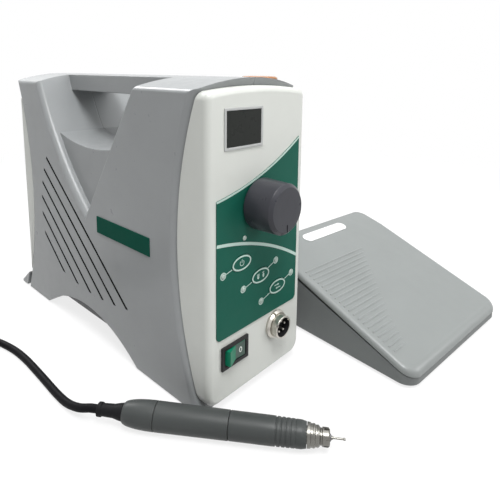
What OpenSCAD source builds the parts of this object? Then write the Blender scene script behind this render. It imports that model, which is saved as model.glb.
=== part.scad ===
// Bench micromotor set: a control unit with carrying handle, a motor handpiece on its cord, a foot pedal.
// Millimetres. +X right as seen from the front, the unit's front faces -Y, +Z up, floor at z = 0.

/* [Control unit casing] */
// Width across the side walls
unit_w = 104; // [98:1:112]
// Height of the top at the middle of its crown
unit_h = 228; // [222:1:236]
// How much the top falls from its middle to the side walls
crown = 8; // [6:0.5:9]
// Thickness of the casing walls
wall = 3; // [2.4:0.1:3.4]
// Radius of the hollow front and rear edges of the casing
waist_r = 275; // [260:1:300]
// Height of the narrowest place of the casing
waist_z = 114; // [110:1:118]
// Depth of the front bezel at the waist
front_waist = 31; // [28:1:34]
// Distance from the front face to the rear edge at the waist
rear_waist = 261; // [254:1:268]
// Height of the front bezel's lower edge
bezel_bottom = 6; // [5:0.5:9]
// How far the rear panel stands behind the rear waist
rear_bulge = 18; // [16:0.5:20]
// How far the rear feet stand behind the rear waist
foot_reach = 37; // [30:1:42]
// Gap between the legs and the floor
foot_lift = 1.5; // [1:0.1:2.5]
// Rounding of the casing's hollow edges
edge_r = 7; // [5:0.5:8]
// Radius of the arch between the legs
arch_r = 133; // [128:1:140]
// Height of the arch
arch_top = 26; // [24:0.5:27]

/* [Handle and side recess] */
// Radius of the rear edge of the side recess
recess_r = 285; // [260:1:320]
// Depth of the side recess
recess_depth = 8; // [5:0.5:9]
// Rounding along the rear edge of the side recess
recess_round = 6; // [3:0.5:7]
// Lowest height of the shelf under the handle
shelf_z = 166; // [160:1:172]
// Radius of the dished shelf
shelf_r = 195; // [170:1:230]
// Width of the handle bar
bar_w = 40; // [32:1:46]
// Thickness of the handle bar
bar_t = 16; // [14:0.5:20]

/* [Vents] */
// Number of vent slots in each side
slot_count = 6; // [3:1:7]
// Width of a vent slot
slot_w = 2.4; // [1.6:0.1:3.2]
// Distance between vent slots
slot_pitch = 13.4; // [10:0.2:14]
// Slope of the vent slots
slot_tilt = 38.5; // [34:0.5:42]

/* [Front panel] */
// Width of the display window
display_w = 33.5; // [28:0.5:36]
// Height of the display window
display_h = 24; // [20:0.5:26]
// Width of the grey trim round the display
trim_w = 1.6; // [1:0.1:2.2]
// Thickness of the overlay film
film_t = 0.7; // [0.4:0.1:1]
// Diameter of the speed knob
knob_d = 36.5; // [30:0.5:40]
// How far the knob stands out from the panel
knob_l = 25; // [20:0.5:28]
// Diameter of the knob's shaft
shaft_d = 6; // [5:0.1:6.4]
// Height of the knob's centre
knob_z = 141; // [139:0.5:143]
// Width of a membrane key
key_w = 19; // [15:0.5:20]
// Height of a membrane key
key_h = 11; // [8:0.5:12]
// Travel of a membrane key
key_travel = 0.6; // [0.3:0.1:0.8]
// Width of the power switch frame
switch_w = 26; // [24:0.5:28]
// Height of the power switch frame
switch_h = 17; // [16:0.5:18]
// Tilt of the rocker either way
rocker_tilt = 11; // [8:1:12]
// Outside diameter of the round socket
socket_d = 17.2; // [15:0.2:18]
// How far the socket stands out from the panel
socket_l = 8.5; // [7:0.5:10]

/* [Handpiece] */
// Diameter at the rear of the handpiece
hand_d = 18; // [17.4:0.2:21]
// Diameter at the front of the grip sleeve
grip_d = 15.8; // [15.4:0.2:17]
// Length of the rear cap
cap_l = 22; // [20:0.5:26]
// Length of the motor casing
casing_l = 48.5; // [46:0.5:58]
// Length of the grip sleeve
grip_l = 48.5; // [44:0.5:54]
// Length of the metal nose
nose_l = 14; // [13:0.5:17]
// Number of grooves in the grip
groove_count = 5; // [3:1:7]
// Diameter of a tool shank
shank_d = 2.35; // [1.6:0.05:3]
// How far the tool stands out of the nose
tool_l = 9.5; // [8:0.5:20]

/* [Pedal] */
// Width of the pedal
pedal_w = 162; // [148:1:170]
// Length of the pedal
pedal_l = 162; // [152:1:174]
// Height of the pedal's low front
pedal_front_h = 13.5; // [13:0.5:16]
// Height of the pedal's back
pedal_back_h = 69; // [63:0.5:72]
// Height of the crease across the treadle
crease_h = 60; // [56:0.5:62]
// Distance of the crease from the back edge
crease_back = 33; // [28:1:40]
// Angle that the treadle goes down
press_angle = 1.5; // [1:0.1:2]
// Number of ribs across the treadle
rib_count = 20; // [12:1:24]

/* [Cord] */
// Diameter of the handpiece cord
cord_d = 5.5; // [5:0.1:5.6]
// Turns in each layer of the put-away coil
layer_turns = 3.25; // [2.25:1:4.25]
// Radius of the coil's outer turn
coil_r = 40; // [38:0.5:44]

/* [Hidden] */
$fn = 64;

// Shared clearances
seam = 0.3;
slip = 0.15;
run = 0.05;
eps = 1;
blend = 0.1;

// Where the three things stand on the floor
unit_at = [-76, -97];
hand_clear = 37;
hand_front = 58;
hand_at = [unit_at[0] - unit_w / 2 - hand_clear, -hand_front];
hand_turn = -56;
pedal_at = [82, -113];
pedal_turn = -5.5;

// Casing values that follow from the sizes above
half_w = unit_w / 2;
top_edge_z = unit_h - crown;
top_round = 4;
inner_half = half_w - wall;
rim_t = 10;
rim_half = half_w - rim_t;
front_c = front_waist - waist_r;
rear_c = rear_waist + waist_r;
rear_face = rear_waist + rear_bulge;
foot_tip = rear_waist + foot_reach;
crease_z = 18;
arch_y = 157;
arch_c = arch_top - arch_r;
leg_floor = foot_lift + wall;
roof_z = top_edge_z - 6;
rear_roof_z = roof_z - 10;
front_leg_end = 75;
rear_leg_start = 240;
tray_from = 104;
tray_to = 210;
tray_z = 17.5;
tray_t = 3;
tray_flange = 14;

// Side recess: lowest point, front top corner and rear top corner, in depth and height
recess_apex = [150, 109];
recess_front = [72, unit_h - 4];
recess_rear = [234, unit_h - 4];
front_dir = (recess_front - recess_apex) / norm(recess_front - recess_apex);
front_normal = [-front_dir[1], front_dir[0]];
recess_c = chord_centre(recess_apex, recess_rear, recess_r);
shelf_y = 152;
bar_z = unit_h - bar_t;

// Vent field: slots fill the space common to two circles
slot_first = [157, 98];
vent_c = [137, 97];
vent_r = 100;
vent_low_c = [150, 324];
vent_low_r = 284;

// Front panel places, across and up
bezel_half = half_w - 2;
bezel_top = unit_h - 5.5;
bezel_crown = 3.5;
bezel_round = 6;
bezel_corner = 10;
panel_t = 3;
rise = unit_h / 228;
spread = unit_w / 104;
display_at = [-17.4 * spread, 195.3 * rise];
overlay_half = 42.8 * spread;
overlay_low = 53.7 * rise;
overlay_left = 150.2 * rise;
overlay_right = 184.2 * rise;
overlay_r = 214;
film_round = 4;
overlay_c = chord_centre([-overlay_half, overlay_left], [overlay_half, overlay_right], overlay_r);
knob_at = [-1, knob_z * rise];
key_at = [for (p = [[-19.4, 102.7], [0.4, 87], [19.7, 72]]) [p[0] * spread, p[1] * rise]];
led_at = [for (p = [[-37, 98.7], [17.5, 93.1], [-17.6, 82.7], [36.7, 77.1], [1.5, 66.5], [-16.7, 119.6]])
    [p[0] * spread, p[1] * rise]];
led_d = 3.4;
led_out = 0.6;
switch_at = [-25.5 * spread, 39.2 * rise];
socket_at = [19 * spread, 41.5 * rise];
board_y = 20;
board_t = 1.6;
board_half = 40 * spread;
board_low = 56 * rise;
board_top = bezel_top - 14.5;
post_r = 3;
post_x = 36 * spread;
post_low = board_low + 6;
post_high = board_top - 36 * rise;
board_posts = [for (x = [-post_x, post_x], z = [post_low, post_high]) [x, z]];
knob_wall = 2.2;
knob_gap = 1;
pot_r = 11;
pot_deep = 11;
bush_r = shaft_d / 2 + 1.5;
bush_out = 4;
key_out = film_t + 0.4;
key_back = 1.2;
key_stem_r = 2;
tact_h = 3.7;

// Rocker switch
frame_t = 1.8;
switch_body_w = switch_w - 3;
switch_body_h = switch_h - 2.8;
well_w = switch_body_w - 2.6;
well_h = switch_body_h - 2.6;
switch_deep = 22;
well_deep = 12;
pivot_y = 1.2;
pivot_r = 1.5;
rocker_half = well_w / 2 - 0.9;
rocker_rise = 4.4;

// Round socket
socket_r = socket_d / 2;
socket_wall = 1.4;
socket_in = 14;
nut_r = socket_r + 2.2;
nut_t = 3.2;
collar_r = socket_r + 1.4;
socket_neck_r = socket_r - 0.25;
socket_step = nut_t + 0.2;
insert_front = 2.5;
pin_r = 0.8;
pin_ring = 4.2;
pin_count = 5;
pin_front = socket_l - 2;

// Inside the unit
supply_from = [-36, 112];
supply_size = [72, 93, 56];
supply_lift = 3.5;
supply_z = tray_z + tray_t + supply_lift;
driver_gap = 4;
driver_size = [68, 89, 1.6];
driver_z = supply_z + supply_size[2] + driver_gap;
sink_size = [50, 60, 18];
sink_z = driver_z + driver_size[2];
fin_count = 8;
fin_t = 2;
screw_at = [for (p = [[60, 196], [60, 62], [250, 190], [246, 56]]) [p[0], p[1] * rise]];
boss_r = 4.2;
screw_r = 1.6;
head_r = 3.4;
head_deep = 4;
foot_r = 7;
foot_t = 3;
feet_at = [[-38, 30], [38, 30], [-38, 264], [38, 264]];
pad_r = 14;
pad_at = [30, 29];
pad_low = unit_h - 9;
pad_top = unit_h;
badge_from = [59, 99.3];
badge_size = [73, 14];
badge_t = 0.6;

// Rear panel places
rear_low = crease_z + 4;
rear_top = rear_roof_z - 1;
inlet_at = [0, 52];
inlet_w = 27;
inlet_h = 20;
fuse_at = [-30 * spread, 52];
fuse_r = 6;
pedal_jack_at = [30 * spread, 52];
jack_r = 7.5;
rear_slots = 8;
rear_slot_w = 56;
rear_slot_h = 3;
rear_slot_z = 96;
rear_slot_pitch = 9;

// Handpiece stations along its axis, from the rear cap's end
hand_r = hand_d / 2;
grip_r = grip_d / 2;
joint_gap = 0.3;
casing_x = cap_l + joint_gap;
grip_x = casing_x + casing_l;
nose_x = grip_x + grip_l + joint_gap;
tip_x = nose_x + nose_l;
grip_rear_r = hand_r - 0.5;
casing_bore = hand_r - 1.6;
neck_r = grip_r - 1.2;
neck_bore = neck_r - 1.6;
spigot_r = casing_bore - run;
seat_r = casing_bore - 2;
spindle_r = 2;
bearing_l = 5;
nose_spigot_l = 10;
nose_spigot_r = neck_bore - run;
nose_seat_r = nose_spigot_r - 1;
front_bearing_x = nose_x - nose_spigot_l + 1;
rear_bearing_x = cap_l + 2;
spindle_x = cap_l + 2.5;
head_x = nose_x - 2;
head_out_r = 3.3;
collet_r = 2.3;
collet_x = head_x + 1.5;
nose_bore = head_out_r + seam;
nose_mid_r = 5.4;
cap_end_r = 5.8;
cap_dome = 20;
groove_pitch = 3;
groove_w = 1.1;
groove_x = grip_x + grip_l - 4.4 - groove_count * groove_pitch;
boot_l = 18;
boot_small_r = 3.9;
boot_plug_l = 4;
boot_plug_r = 4.2;

// Pedal values
pedal_round = 12;
pedal_foot_in = [22, 34];
sensor_size = [36, 18, 7];
sensor_back = 32;
oval_in = 78.5;
shell_t = 3;
pedal_floor_z = 2.5;
rim_h = 5.5;
nose_r = 7;
base_inset = 0.5;
hinge_y = -pedal_l / 2 + 13;
hinge_z = 9.6;
hinge_r = 2;
lug_r = 3.4;
lug_l = 12;
base_lug_x = 52;
treadle_lug_x = 38;
crease_y = pedal_l / 2 - crease_back;
spring_at = [0, 34];
spring_r = 9;
spring_wire = 1.8;
spring_turns = 7;
spring_low = pedal_floor_z + shell_t;
spring_high = deck_z(spring_at[1] - spring_r - 2) - shell_t - 0.6;
rib_from = 20 - pedal_l / 2;
rib_to = crease_y - 19;
rib_w = 1.8;
rib_h = 0.8;
rib_half = pedal_w / 2 - 6.5;
rib_ends = [-52, 24];
rib_fade = 24;
rib_root = 0.6;
oval_w = 66;
oval_h = 12;
gland_r = 5;
gland_z = 15;
gland_out = 9;

// Cord route over the floor, chosen by hand: from the strain relief to the coil
cord_route = [[-182, -30, 6.8], [-183.8, -17, 4], [-184, -2, 2.9], [-183.6, 16, 2.8], [-183.2, 36, 2.8],
    [-183.2, 56, 2.8], [-184.6, 74, 2.8], [-188, 91, 2.8], [-193, 108, 3]];
coil_at = [-238, 132];
coil_turn = 14;
coil_gap = 0.5;
tie_t = 1.2;
tie_w = 10;
tie_angle = 100;
coil_steps = 24;
coil_sides = 6;
coil_pitch = cord_d + coil_gap;
coil_inner = coil_r - layer_turns * coil_pitch;
coil_low_z = tie_t + 0.2 + cord_d / 2;
coil_high_z = coil_low_z + coil_pitch;
coil_dip = 0.4 * coil_pitch;
ring_r = min(socket_r + 1.4, coil_high_z - 0.15);
ring_l = 14;
plug_r = socket_r - socket_wall - slip;
plug_l = 24;
plug_boot_l = 16;
plug_run = 9;

function chord_centre(a, b, r) =
    let (m = (a + b) / 2, d = b - a, l = norm(d), n = [-d[1], d[0]] / l)
    m + n * sqrt(r * r - l * l / 4);
function front_edge(z) = front_c + sqrt(waist_r * waist_r - pow(z - waist_z, 2));
function rear_edge(z) = rear_c - sqrt(waist_r * waist_r - pow(z - waist_z, 2));
function oval(w, h) = [for (a = [0:10:350]) [w / 2 * cos(a), h / 2 * sin(a)]];
function deck_z(y) =
    y < crease_y
    ? pedal_front_h + (crease_h - pedal_front_h) * (y + pedal_l / 2) / (crease_y + pedal_l / 2)
    : crease_h + (pedal_back_h - crease_h) * (y - crease_y) / crease_back;
deck_slope = atan((crease_h - pedal_front_h) / (crease_y + pedal_l / 2));
back_slope = atan((pedal_back_h - crease_h) / crease_back);

// Placing and sketching helpers
module at_unit() translate([unit_at[0], unit_at[1], 0]) children();
module at_hand() translate([hand_at[0], hand_at[1], hand_r]) rotate([0, 0, hand_turn]) children();
module at_pedal() translate([pedal_at[0], pedal_at[1], 0]) rotate([0, 0, pedal_turn]) children();
module across(w) rotate([90, 0, 90]) linear_extrude(w, center = true) children();
module depthwise(from, to) translate([0, to, 0]) rotate([90, 0, 0]) linear_extrude(to - from) children();
module disc_x(y, z, r, w)
    translate([0, y, z]) rotate([0, 90, 0]) cylinder(r = r, h = w, center = true, $fn = 96);
module rod_y(p, from, to, r) translate([p[0], from, p[1]]) rotate([-90, 0, 0]) cylinder(r = r, h = to - from);
module rod_x(p, from, to, r) translate([from, p[0], p[1]]) rotate([0, 90, 0]) cylinder(r = r, h = to - from);
module block_y(p, w, h, from, to)
    translate([p[0] - w / 2, from, p[1] - h / 2]) cube([w, to - from, h]);
// Turned part along the handpiece: points are distance along the axis and radius
module turned(points) rotate([0, 90, 0]) rotate_extrude() polygon([for (p = points) [p[1], p[0]]]);
module ring_x(from, to, outer, inner) turned([[from, inner], [to, inner], [to, outer], [from, outer]]);

// Crowned outline of the casing or bezel, across and up
module crowned(w, low, high, r, c) {
    h = w / 2;
    cr = (h * h + c * c) / (2 * c);
    cz = high - cr;
    rz = cz + sqrt(pow(cr - r, 2) - pow(h - r, 2));
    out = [h - r, rz - cz] / (cr - r);
    difference() {
        intersection() {
            translate([-h, low]) square([w, high - low + eps]);
            translate([0, cz]) circle(cr, $fn = 180);
        }
        for (s = [0, 1]) mirror([s, 0]) translate([h - r, rz]) difference() {
            polygon([[0, 0], [3 * r, 0], [3 * r, 3 * r], 3 * r * out]);
            circle(r + blend);
        }
    }
}

// Control unit casing
module side_block() difference() {
    union() {
        difference() {
            translate([-half_w - eps, 0, foot_lift])
                cube([unit_w + 2 * eps, rear_edge(unit_h), unit_h + eps]);
            disc_x(front_c, waist_z, waist_r, unit_w + 4);
            disc_x(rear_c, waist_z, waist_r, unit_w + 4);
        }
        across(unit_w + 2 * eps) polygon([
            [rear_leg_start, foot_lift], [foot_tip, foot_lift], [foot_tip, foot_lift + 2],
            [rear_edge(crease_z) - 2, crease_z + 2], [rear_leg_start, crease_z + 2]]);
    }
    disc_x(arch_y, arch_c, arch_r, unit_w + 4);
}
module behind_front_edge(grow, w) across(w) polygon([
    recess_apex - unit_h / 4 * front_dir + grow * front_normal,
    recess_apex + 1.2 * unit_h * front_dir + grow * front_normal,
    [1.8 * unit_h, 1.8 * unit_h], [1.8 * unit_h, 0]]);
module recess_block(grow, w) intersection() {
    disc_x(recess_c[0], recess_c[1], recess_r + grow, w);
    behind_front_edge(grow, w + 2);
}
module edge_round(centre_y, radius, round) translate([0, centre_y, waist_z]) rotate([0, 90, 0])
    for (s = [0, 1]) mirror([0, 0, s]) rotate_extrude($fn = 180) difference() {
        translate([radius - eps, half_w - round]) square([round + eps, round + eps]);
        translate([radius + round, half_w - round]) circle(round + blend);
    }
module recess_cut() intersection() {
    behind_front_edge(0, unit_w + 4);
    translate([0, recess_c[0], recess_c[1]]) rotate([0, 90, 0])
        for (s = [0, 1]) mirror([0, 0, s]) rotate_extrude($fn = 180) difference() {
            translate([0, half_w - recess_depth]) square([recess_r + recess_round, recess_depth + eps]);
            translate([recess_r, 0]) square([recess_round + eps, half_w - recess_round]);
            translate([recess_r + recess_round, half_w - recess_round]) circle(recess_round + blend);
        }
}
module hand_gap() difference() {
    intersection() {
        recess_block(0, unit_w + 4);
        disc_x(shelf_y, shelf_z + shelf_r, shelf_r, unit_w + 6);
    }
    translate([-bar_w / 2, 0, bar_z]) cube([bar_w, rear_waist, unit_h]);
}
module cavity_sketch() polygon([[-eps, bezel_bottom + wall], [14, bezel_bottom + wall], [14, leg_floor],
    [front_leg_end, leg_floor], [front_leg_end, arch_top - wall], [tray_from, arch_top - wall],
    [tray_from, foot_lift], [tray_to, foot_lift], [tray_to, arch_top - wall],
    [rear_leg_start, arch_top - wall], [rear_leg_start, leg_floor], [rear_waist + 7, leg_floor],
    [rear_waist + 7, rear_low], [foot_tip, rear_low], [foot_tip, rear_roof_z], [rear_waist, rear_roof_z],
    [rear_waist, roof_z], [-eps, roof_z]]);
module cavity() difference() {
    union() {
        across(2 * rim_half) cavity_sketch();
        difference() {
            across(2 * inner_half) cavity_sketch();
            disc_x(front_c, waist_z, waist_r + rim_t, unit_w);
            disc_x(rear_c, waist_z, waist_r + rim_t, unit_w);
        }
    }
    for (s = [-1, 1]) translate([s * half_w, 0, 0])
        recess_block(recess_round + wall, 2 * (recess_depth + wall));
    intersection() {
        recess_block(wall, unit_w);
        disc_x(shelf_y, shelf_z + shelf_r, shelf_r + wall, unit_w + 2);
    }
}
module vents() intersection() {
    disc_x(vent_c[0], vent_c[1], vent_r, unit_w + 4);
    disc_x(vent_low_c[0], vent_low_c[1], vent_low_r, unit_w + 6);
    translate([0, slot_first[0], slot_first[1]]) rotate([slot_tilt, 0, 0]) for (i = [0:slot_count - 1])
        translate([0, 0, -i * slot_pitch]) cube([unit_w + 2, 3 * vent_r, slot_w], center = true);
}
module housing_half(s) difference() {
    union() {
        difference() {
            intersection() {
                side_block();
                depthwise(-eps, foot_tip + eps) crowned(unit_w, -eps, unit_h, top_round, crown);
                translate([s < 0 ? -unit_w : 0, -2 * eps, -2 * eps])
                    cube([unit_w, foot_tip + 4 * eps, unit_h + 4 * eps]);
            }
            cavity();
            recess_cut();
            hand_gap();
            vents();
            edge_round(front_c, waist_r, edge_r);
            edge_round(rear_c, waist_r, edge_r);
        }
        for (p = screw_at) rod_x(p, s < 0 ? -inner_half - eps : 0, s < 0 ? 0 : inner_half + eps, boss_r);
    }
    for (p = screw_at) {
        rod_x(p, -half_w / 3, unit_w, screw_r + run);
        rod_x(p, half_w - head_deep, unit_w, head_r + slip);
    }
    for (p = feet_at) translate([p[0], p[1], 0]) cylinder(r = foot_r + slip, h = foot_t);
    translate([pad_at[0], pad_at[1], pad_low]) cylinder(r = pad_r + slip, h = unit_h);
}
module housing_left() color("#868887") at_unit() housing_half(-1);
module housing_right() color("#868887") at_unit() housing_half(1);

module bezel_block(inset, from) intersection() {
    depthwise(from, front_waist + eps) difference() {
        crowned(2 * (bezel_half - inset), bezel_bottom + inset, bezel_top - inset, bezel_round, bezel_crown);
        for (s = [0, 1]) mirror([s, 0])
            translate([bezel_half - bezel_corner, bezel_bottom + bezel_corner]) difference() {
                translate([0, -2 * bezel_corner]) square(2 * bezel_corner);
                circle(bezel_corner - inset + blend);
            }
    }
    disc_x(front_c, waist_z, waist_r - seam + inset * 2, unit_w);
}
module front_bezel() color("#cdcfc8") at_unit() difference() {
    union() {
        difference() {
            bezel_block(0, 0);
            bezel_block(wall, panel_t);
        }
        for (p = board_posts) rod_y(p, panel_t - eps, board_y, post_r);
    }
    block_y(display_at, display_w + 2 * slip, display_h + 2 * slip, -eps, panel_t + eps);
    rod_y(knob_at, -eps, panel_t + eps, bush_r + slip);
    for (p = key_at) translate([p[0], 0, p[1]]) depthwise(-eps, panel_t + eps)
        polygon(oval(key_w + 2 * seam, key_h + 2 * seam));
    for (p = led_at) rod_y(p, -eps, panel_t + eps, led_d / 2 + slip);
    block_y(switch_at, switch_body_w + 2 * slip, switch_body_h + 2 * slip, -eps, panel_t + eps);
    rod_y(socket_at, -eps, panel_t + eps, socket_r + slip);
}
module rear_panel() color("#cfd0ca") at_unit() difference() {
    intersection() {
        depthwise(rear_waist - eps, rear_face) translate([-bezel_half, rear_low + seam])
            square([2 * bezel_half, rear_top - rear_low - 2 * seam]);
        disc_x(rear_c, waist_z, waist_r - seam, unit_w);
    }
    intersection() {
        depthwise(rear_waist - 2 * eps, rear_face - panel_t) translate([-bezel_half + wall, rear_low + wall])
            square([2 * (bezel_half - wall), rear_top - rear_low - 2 * wall]);
        disc_x(rear_c, waist_z, waist_r - seam + eps, unit_w);
    }
    block_y(inlet_at, inlet_w + 2 * slip, inlet_h + 2 * slip, rear_waist, rear_face + eps);
    rod_y(fuse_at, rear_waist, rear_face + eps, fuse_r + slip);
    rod_y(pedal_jack_at, rear_waist, rear_face + eps, jack_r + slip);
    for (i = [0:rear_slots - 1])
        block_y([0, rear_slot_z + rear_slot_pitch * i], rear_slot_w, rear_slot_h, rear_waist, rear_face + eps);
}
module base_plate() color("#3b3d3f") at_unit() {
    w = inner_half - seam;
    l = tray_to - tray_from - 2 * seam;
    translate([-w, tray_from + seam, tray_z]) cube([2 * w, l, tray_t]);
    for (s = [0, 1]) mirror([s, 0, 0]) translate([w - 2, tray_from + seam, tray_z]) cube([2, l, tray_flange]);
    for (x = [0.15, 0.85], y = [0.1, 0.9])
        translate([supply_from[0] + x * supply_size[0], supply_from[1] + y * supply_size[1], 0])
            translate([0, 0, tray_z + tray_t - 0.5]) cylinder(r = 4, h = supply_lift + 0.5);
}
module rubber_feet() color("#222222") at_unit()
    for (p = feet_at) translate([p[0], p[1], 0]) cylinder(r = foot_r, h = foot_t);
module housing_screws() color("#9a9a9a") at_unit() for (p = screw_at) {
    rod_x(p, -half_w / 3 + 2, half_w - head_deep + 0.5, screw_r);
    difference() {
        rod_x(p, half_w - head_deep, half_w - 1, head_r);
        translate([half_w - 2, p[0] - 2.2, p[1] - 0.5]) cube([2, 4.4, 1]);
        translate([half_w - 2, p[0] - 0.5, p[1] - 2.2]) cube([2, 1, 4.4]);
    }
}
module top_pad() color("#9a5a18") at_unit()
    translate([pad_at[0], pad_at[1], pad_low]) cylinder(r = pad_r, h = pad_top - pad_low);
module side_badges() color("#00483a") at_unit() for (s = [0, 1]) mirror([s, 0, 0])
    translate([half_w, badge_from[0], badge_from[1]]) cube([badge_t, badge_size[0], badge_size[1]]);

// Front panel pieces
module front_overlay() color("#2a5f50") at_unit() depthwise(-film_t, 0) difference() {
    translate([-overlay_half, overlay_low]) square([2 * overlay_half, overlay_right - overlay_low]);
    translate(overlay_c) circle(overlay_r, $fn = 180);
    for (s = [0, 1]) mirror([s, 0])
        translate([overlay_half - film_round, overlay_low + film_round]) difference() {
            translate([0, -2 * film_round]) square(2 * film_round);
            circle(film_round + blend);
        }
    translate(knob_at) circle(bush_r + 2);
    for (p = key_at) translate(p) polygon(oval(key_w + 2 * seam, key_h + 2 * seam));
    for (p = led_at) translate(p) circle(led_d / 2 + slip);
}
module display_trim() color("#aeb1ae") at_unit() difference() {
    block_y(display_at, display_w + 2 * trim_w, display_h + 2 * trim_w, -0.8, 0);
    block_y(display_at, display_w - 2 * slip, display_h - 2 * slip, -eps, eps);
}
module display_window() color("#3a3b39") at_unit()
    block_y(display_at, display_w - 4 * slip, display_h - 4 * slip, -0.5, panel_t - 0.5);
module display_module() color("#1f4a38") at_unit()
    block_y(display_at, display_w + 4, display_h + 3, panel_t + seam, board_y);
module at_knob() translate([knob_at[0], 0, knob_at[1]]) rotate([90, 0, 0]) children();
module speed_knob() color("#45464c") at_unit() at_knob() difference() {
    r = knob_d / 2;
    bore = shaft_d / 2 + 0.02;
    rotate_extrude($fn = 96) polygon([[bore, bush_out + 1.5], [shaft_d / 2 + 3, bush_out + 1.5],
        [shaft_d / 2 + 3, knob_l - 3 - knob_wall], [r - knob_wall, knob_l - 3 - knob_wall],
        [r - knob_wall, film_t + knob_gap], [r, film_t + knob_gap], [r - 0.6, knob_l - 2.2],
        [r - 2.8, knob_l], [0, knob_l], [0, knob_l - 2.8], [bore, knob_l - 2.8]]);
    translate([-0.6, 2.4 - r, knob_l - 0.8]) cube([1.2, 5.5, 2]);
}
module pot_body() color("#6d6f70") at_unit() translate([knob_at[0], 0, knob_at[1]]) rotate([90, 0, 0])
    rotate_extrude() polygon([[shaft_d / 2 + run, -board_y], [pot_r, -board_y], [pot_r, pot_deep - board_y],
        [bush_r, pot_deep - board_y], [bush_r, bush_out], [shaft_d / 2 + run, bush_out]]);
module pot_shaft() color("#b9bbbd") at_unit() rod_y(knob_at, -knob_l + 3, board_y - seam, shaft_d / 2);
module switch_frame() color("#17181a") at_unit() difference() {
    union() {
        block_y(switch_at, switch_w, switch_h, -frame_t, 0);
        block_y(switch_at, switch_body_w, switch_body_h, -eps, switch_deep);
    }
    block_y(switch_at, well_w, well_h, -frame_t - eps, well_deep);
    translate([switch_at[0], pivot_y, switch_at[1]])
        cylinder(r = pivot_r + run, h = switch_body_h - 0.6, center = true);
}
module power_rocker() color("#1f8a4c") at_unit() translate([switch_at[0], pivot_y, switch_at[1]])
    rotate([0, 0, rocker_tilt]) {
        h = rocker_half;
        linear_extrude(well_h - 0.4, center = true) polygon([[-h, -rocker_rise], [0, -rocker_rise / 2],
            [h, -rocker_rise], [h, 1], [4, 5], [-4, 5], [-h, 1]]);
        cylinder(r = pivot_r, h = switch_body_h - 1, center = true);
    }
module socket_shell() color("#c9c8c2") at_unit() difference() {
    union() {
        rod_y(socket_at, -socket_l, -socket_step, socket_r);
        rod_y(socket_at, -socket_step - eps, socket_in, socket_neck_r);
        rod_y(socket_at, panel_t + 0.1, panel_t + 2.5, collar_r);
    }
    rod_y(socket_at, -socket_l - eps, socket_in + eps, socket_r - socket_wall);
}
module socket_nut() color("#d2d1cb") at_unit() translate([socket_at[0], 0, socket_at[1]]) rotate([90, 0, 0])
    rotate_extrude() polygon([[socket_r + run, 0], [nut_r, 0], [nut_r, 1.4], [nut_r - 1, nut_t],
        [socket_r + run, nut_t]]);
module socket_insert() color("#141414") at_unit() difference() {
    rod_y(socket_at, -insert_front, socket_in - 2, socket_r - socket_wall - run);
    for (i = [0:pin_count - 1]) rod_y(pin_place(i), -socket_l, socket_in + eps, pin_r + run);
}
function pin_place(i) = socket_at + pin_ring * [cos(90 + 360 / pin_count * i), sin(90 + 360 / pin_count * i)];
module socket_pins() color("#d8b45a") at_unit()
    for (i = [0:pin_count - 1]) rod_y(pin_place(i), -pin_front, socket_in, pin_r);
module membrane_key(i) color("#35705f") at_unit() translate([key_at[i][0], 0, key_at[i][1]]) {
    depthwise(-key_out, key_back) polygon(oval(key_w, key_h));
    rod_y([0, 0], key_back - 0.5, board_y - tact_h - key_travel - 0.3, key_stem_r);
}
module key_left() membrane_key(0);
module key_middle() membrane_key(1);
module key_right() membrane_key(2);
module indicator_leds() color("#d9e2da") at_unit()
    for (p = led_at) rod_y(p, -film_t - led_out, panel_t + 1, led_d / 2);
module control_board() color("#1d5b3a") at_unit() {
    translate([-board_half, board_y, board_low]) cube([2 * board_half, board_t, board_top - board_low]);
    for (p = key_at) block_y(p, 6, 6, board_y - tact_h, board_y + 0.5);
}

// Inside the unit
module power_supply() color("#b7babc") at_unit() translate([supply_from[0], supply_from[1], supply_z]) {
    cube(supply_size);
    for (x = [0.12, 0.88], y = [0.08, 0.92])
        translate([x * supply_size[0], y * supply_size[1], supply_size[2] - 0.5])
            cylinder(r = 3, h = driver_gap + 0.5);
}
module driver_board() color("#1d5b3a") at_unit()
    translate([-driver_size[0] / 2, supply_from[1] + (supply_size[1] - driver_size[1]) / 2, driver_z])
        cube(driver_size);
module heat_sink() color("#8f9396") at_unit()
    translate([-sink_size[0] / 2, supply_from[1] + (supply_size[1] - sink_size[1]) / 2, sink_z]) {
        cube([sink_size[0], sink_size[1], 4]);
        for (i = [0:fin_count - 1]) translate([i * (sink_size[0] - fin_t) / (fin_count - 1), 0, 3.5])
            cube([fin_t, sink_size[1], sink_size[2] - 3.5]);
    }
module mains_inlet() color("#151515") at_unit() difference() {
    union() {
        block_y(inlet_at, inlet_w, inlet_h, rear_face - 24, rear_face + eps);
        block_y(inlet_at, inlet_w + 5, inlet_h + 5, rear_face, rear_face + 2);
    }
    block_y(inlet_at, inlet_w - 4, inlet_h - 4, rear_face - 14, rear_face + 3);
}
module fuse_holder() color("#1b1b1b") at_unit() {
    rod_y(fuse_at, rear_face - 26, rear_face + eps, fuse_r);
    difference() {
        rod_y(fuse_at, rear_face, rear_face + 9, fuse_r + 1.8);
        block_y(fuse_at, 9, 1.4, rear_face + 7.5, rear_face + 10);
    }
}
module pedal_socket() color("#8d9092") at_unit() difference() {
    union() {
        rod_y(pedal_jack_at, rear_face - 16, rear_face + eps, jack_r);
        rod_y(pedal_jack_at, rear_face, rear_face + 2.5, jack_r + 2);
    }
    rod_y(pedal_jack_at, rear_face - 8, rear_face + 3, jack_r - 1.2);
}

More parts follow.
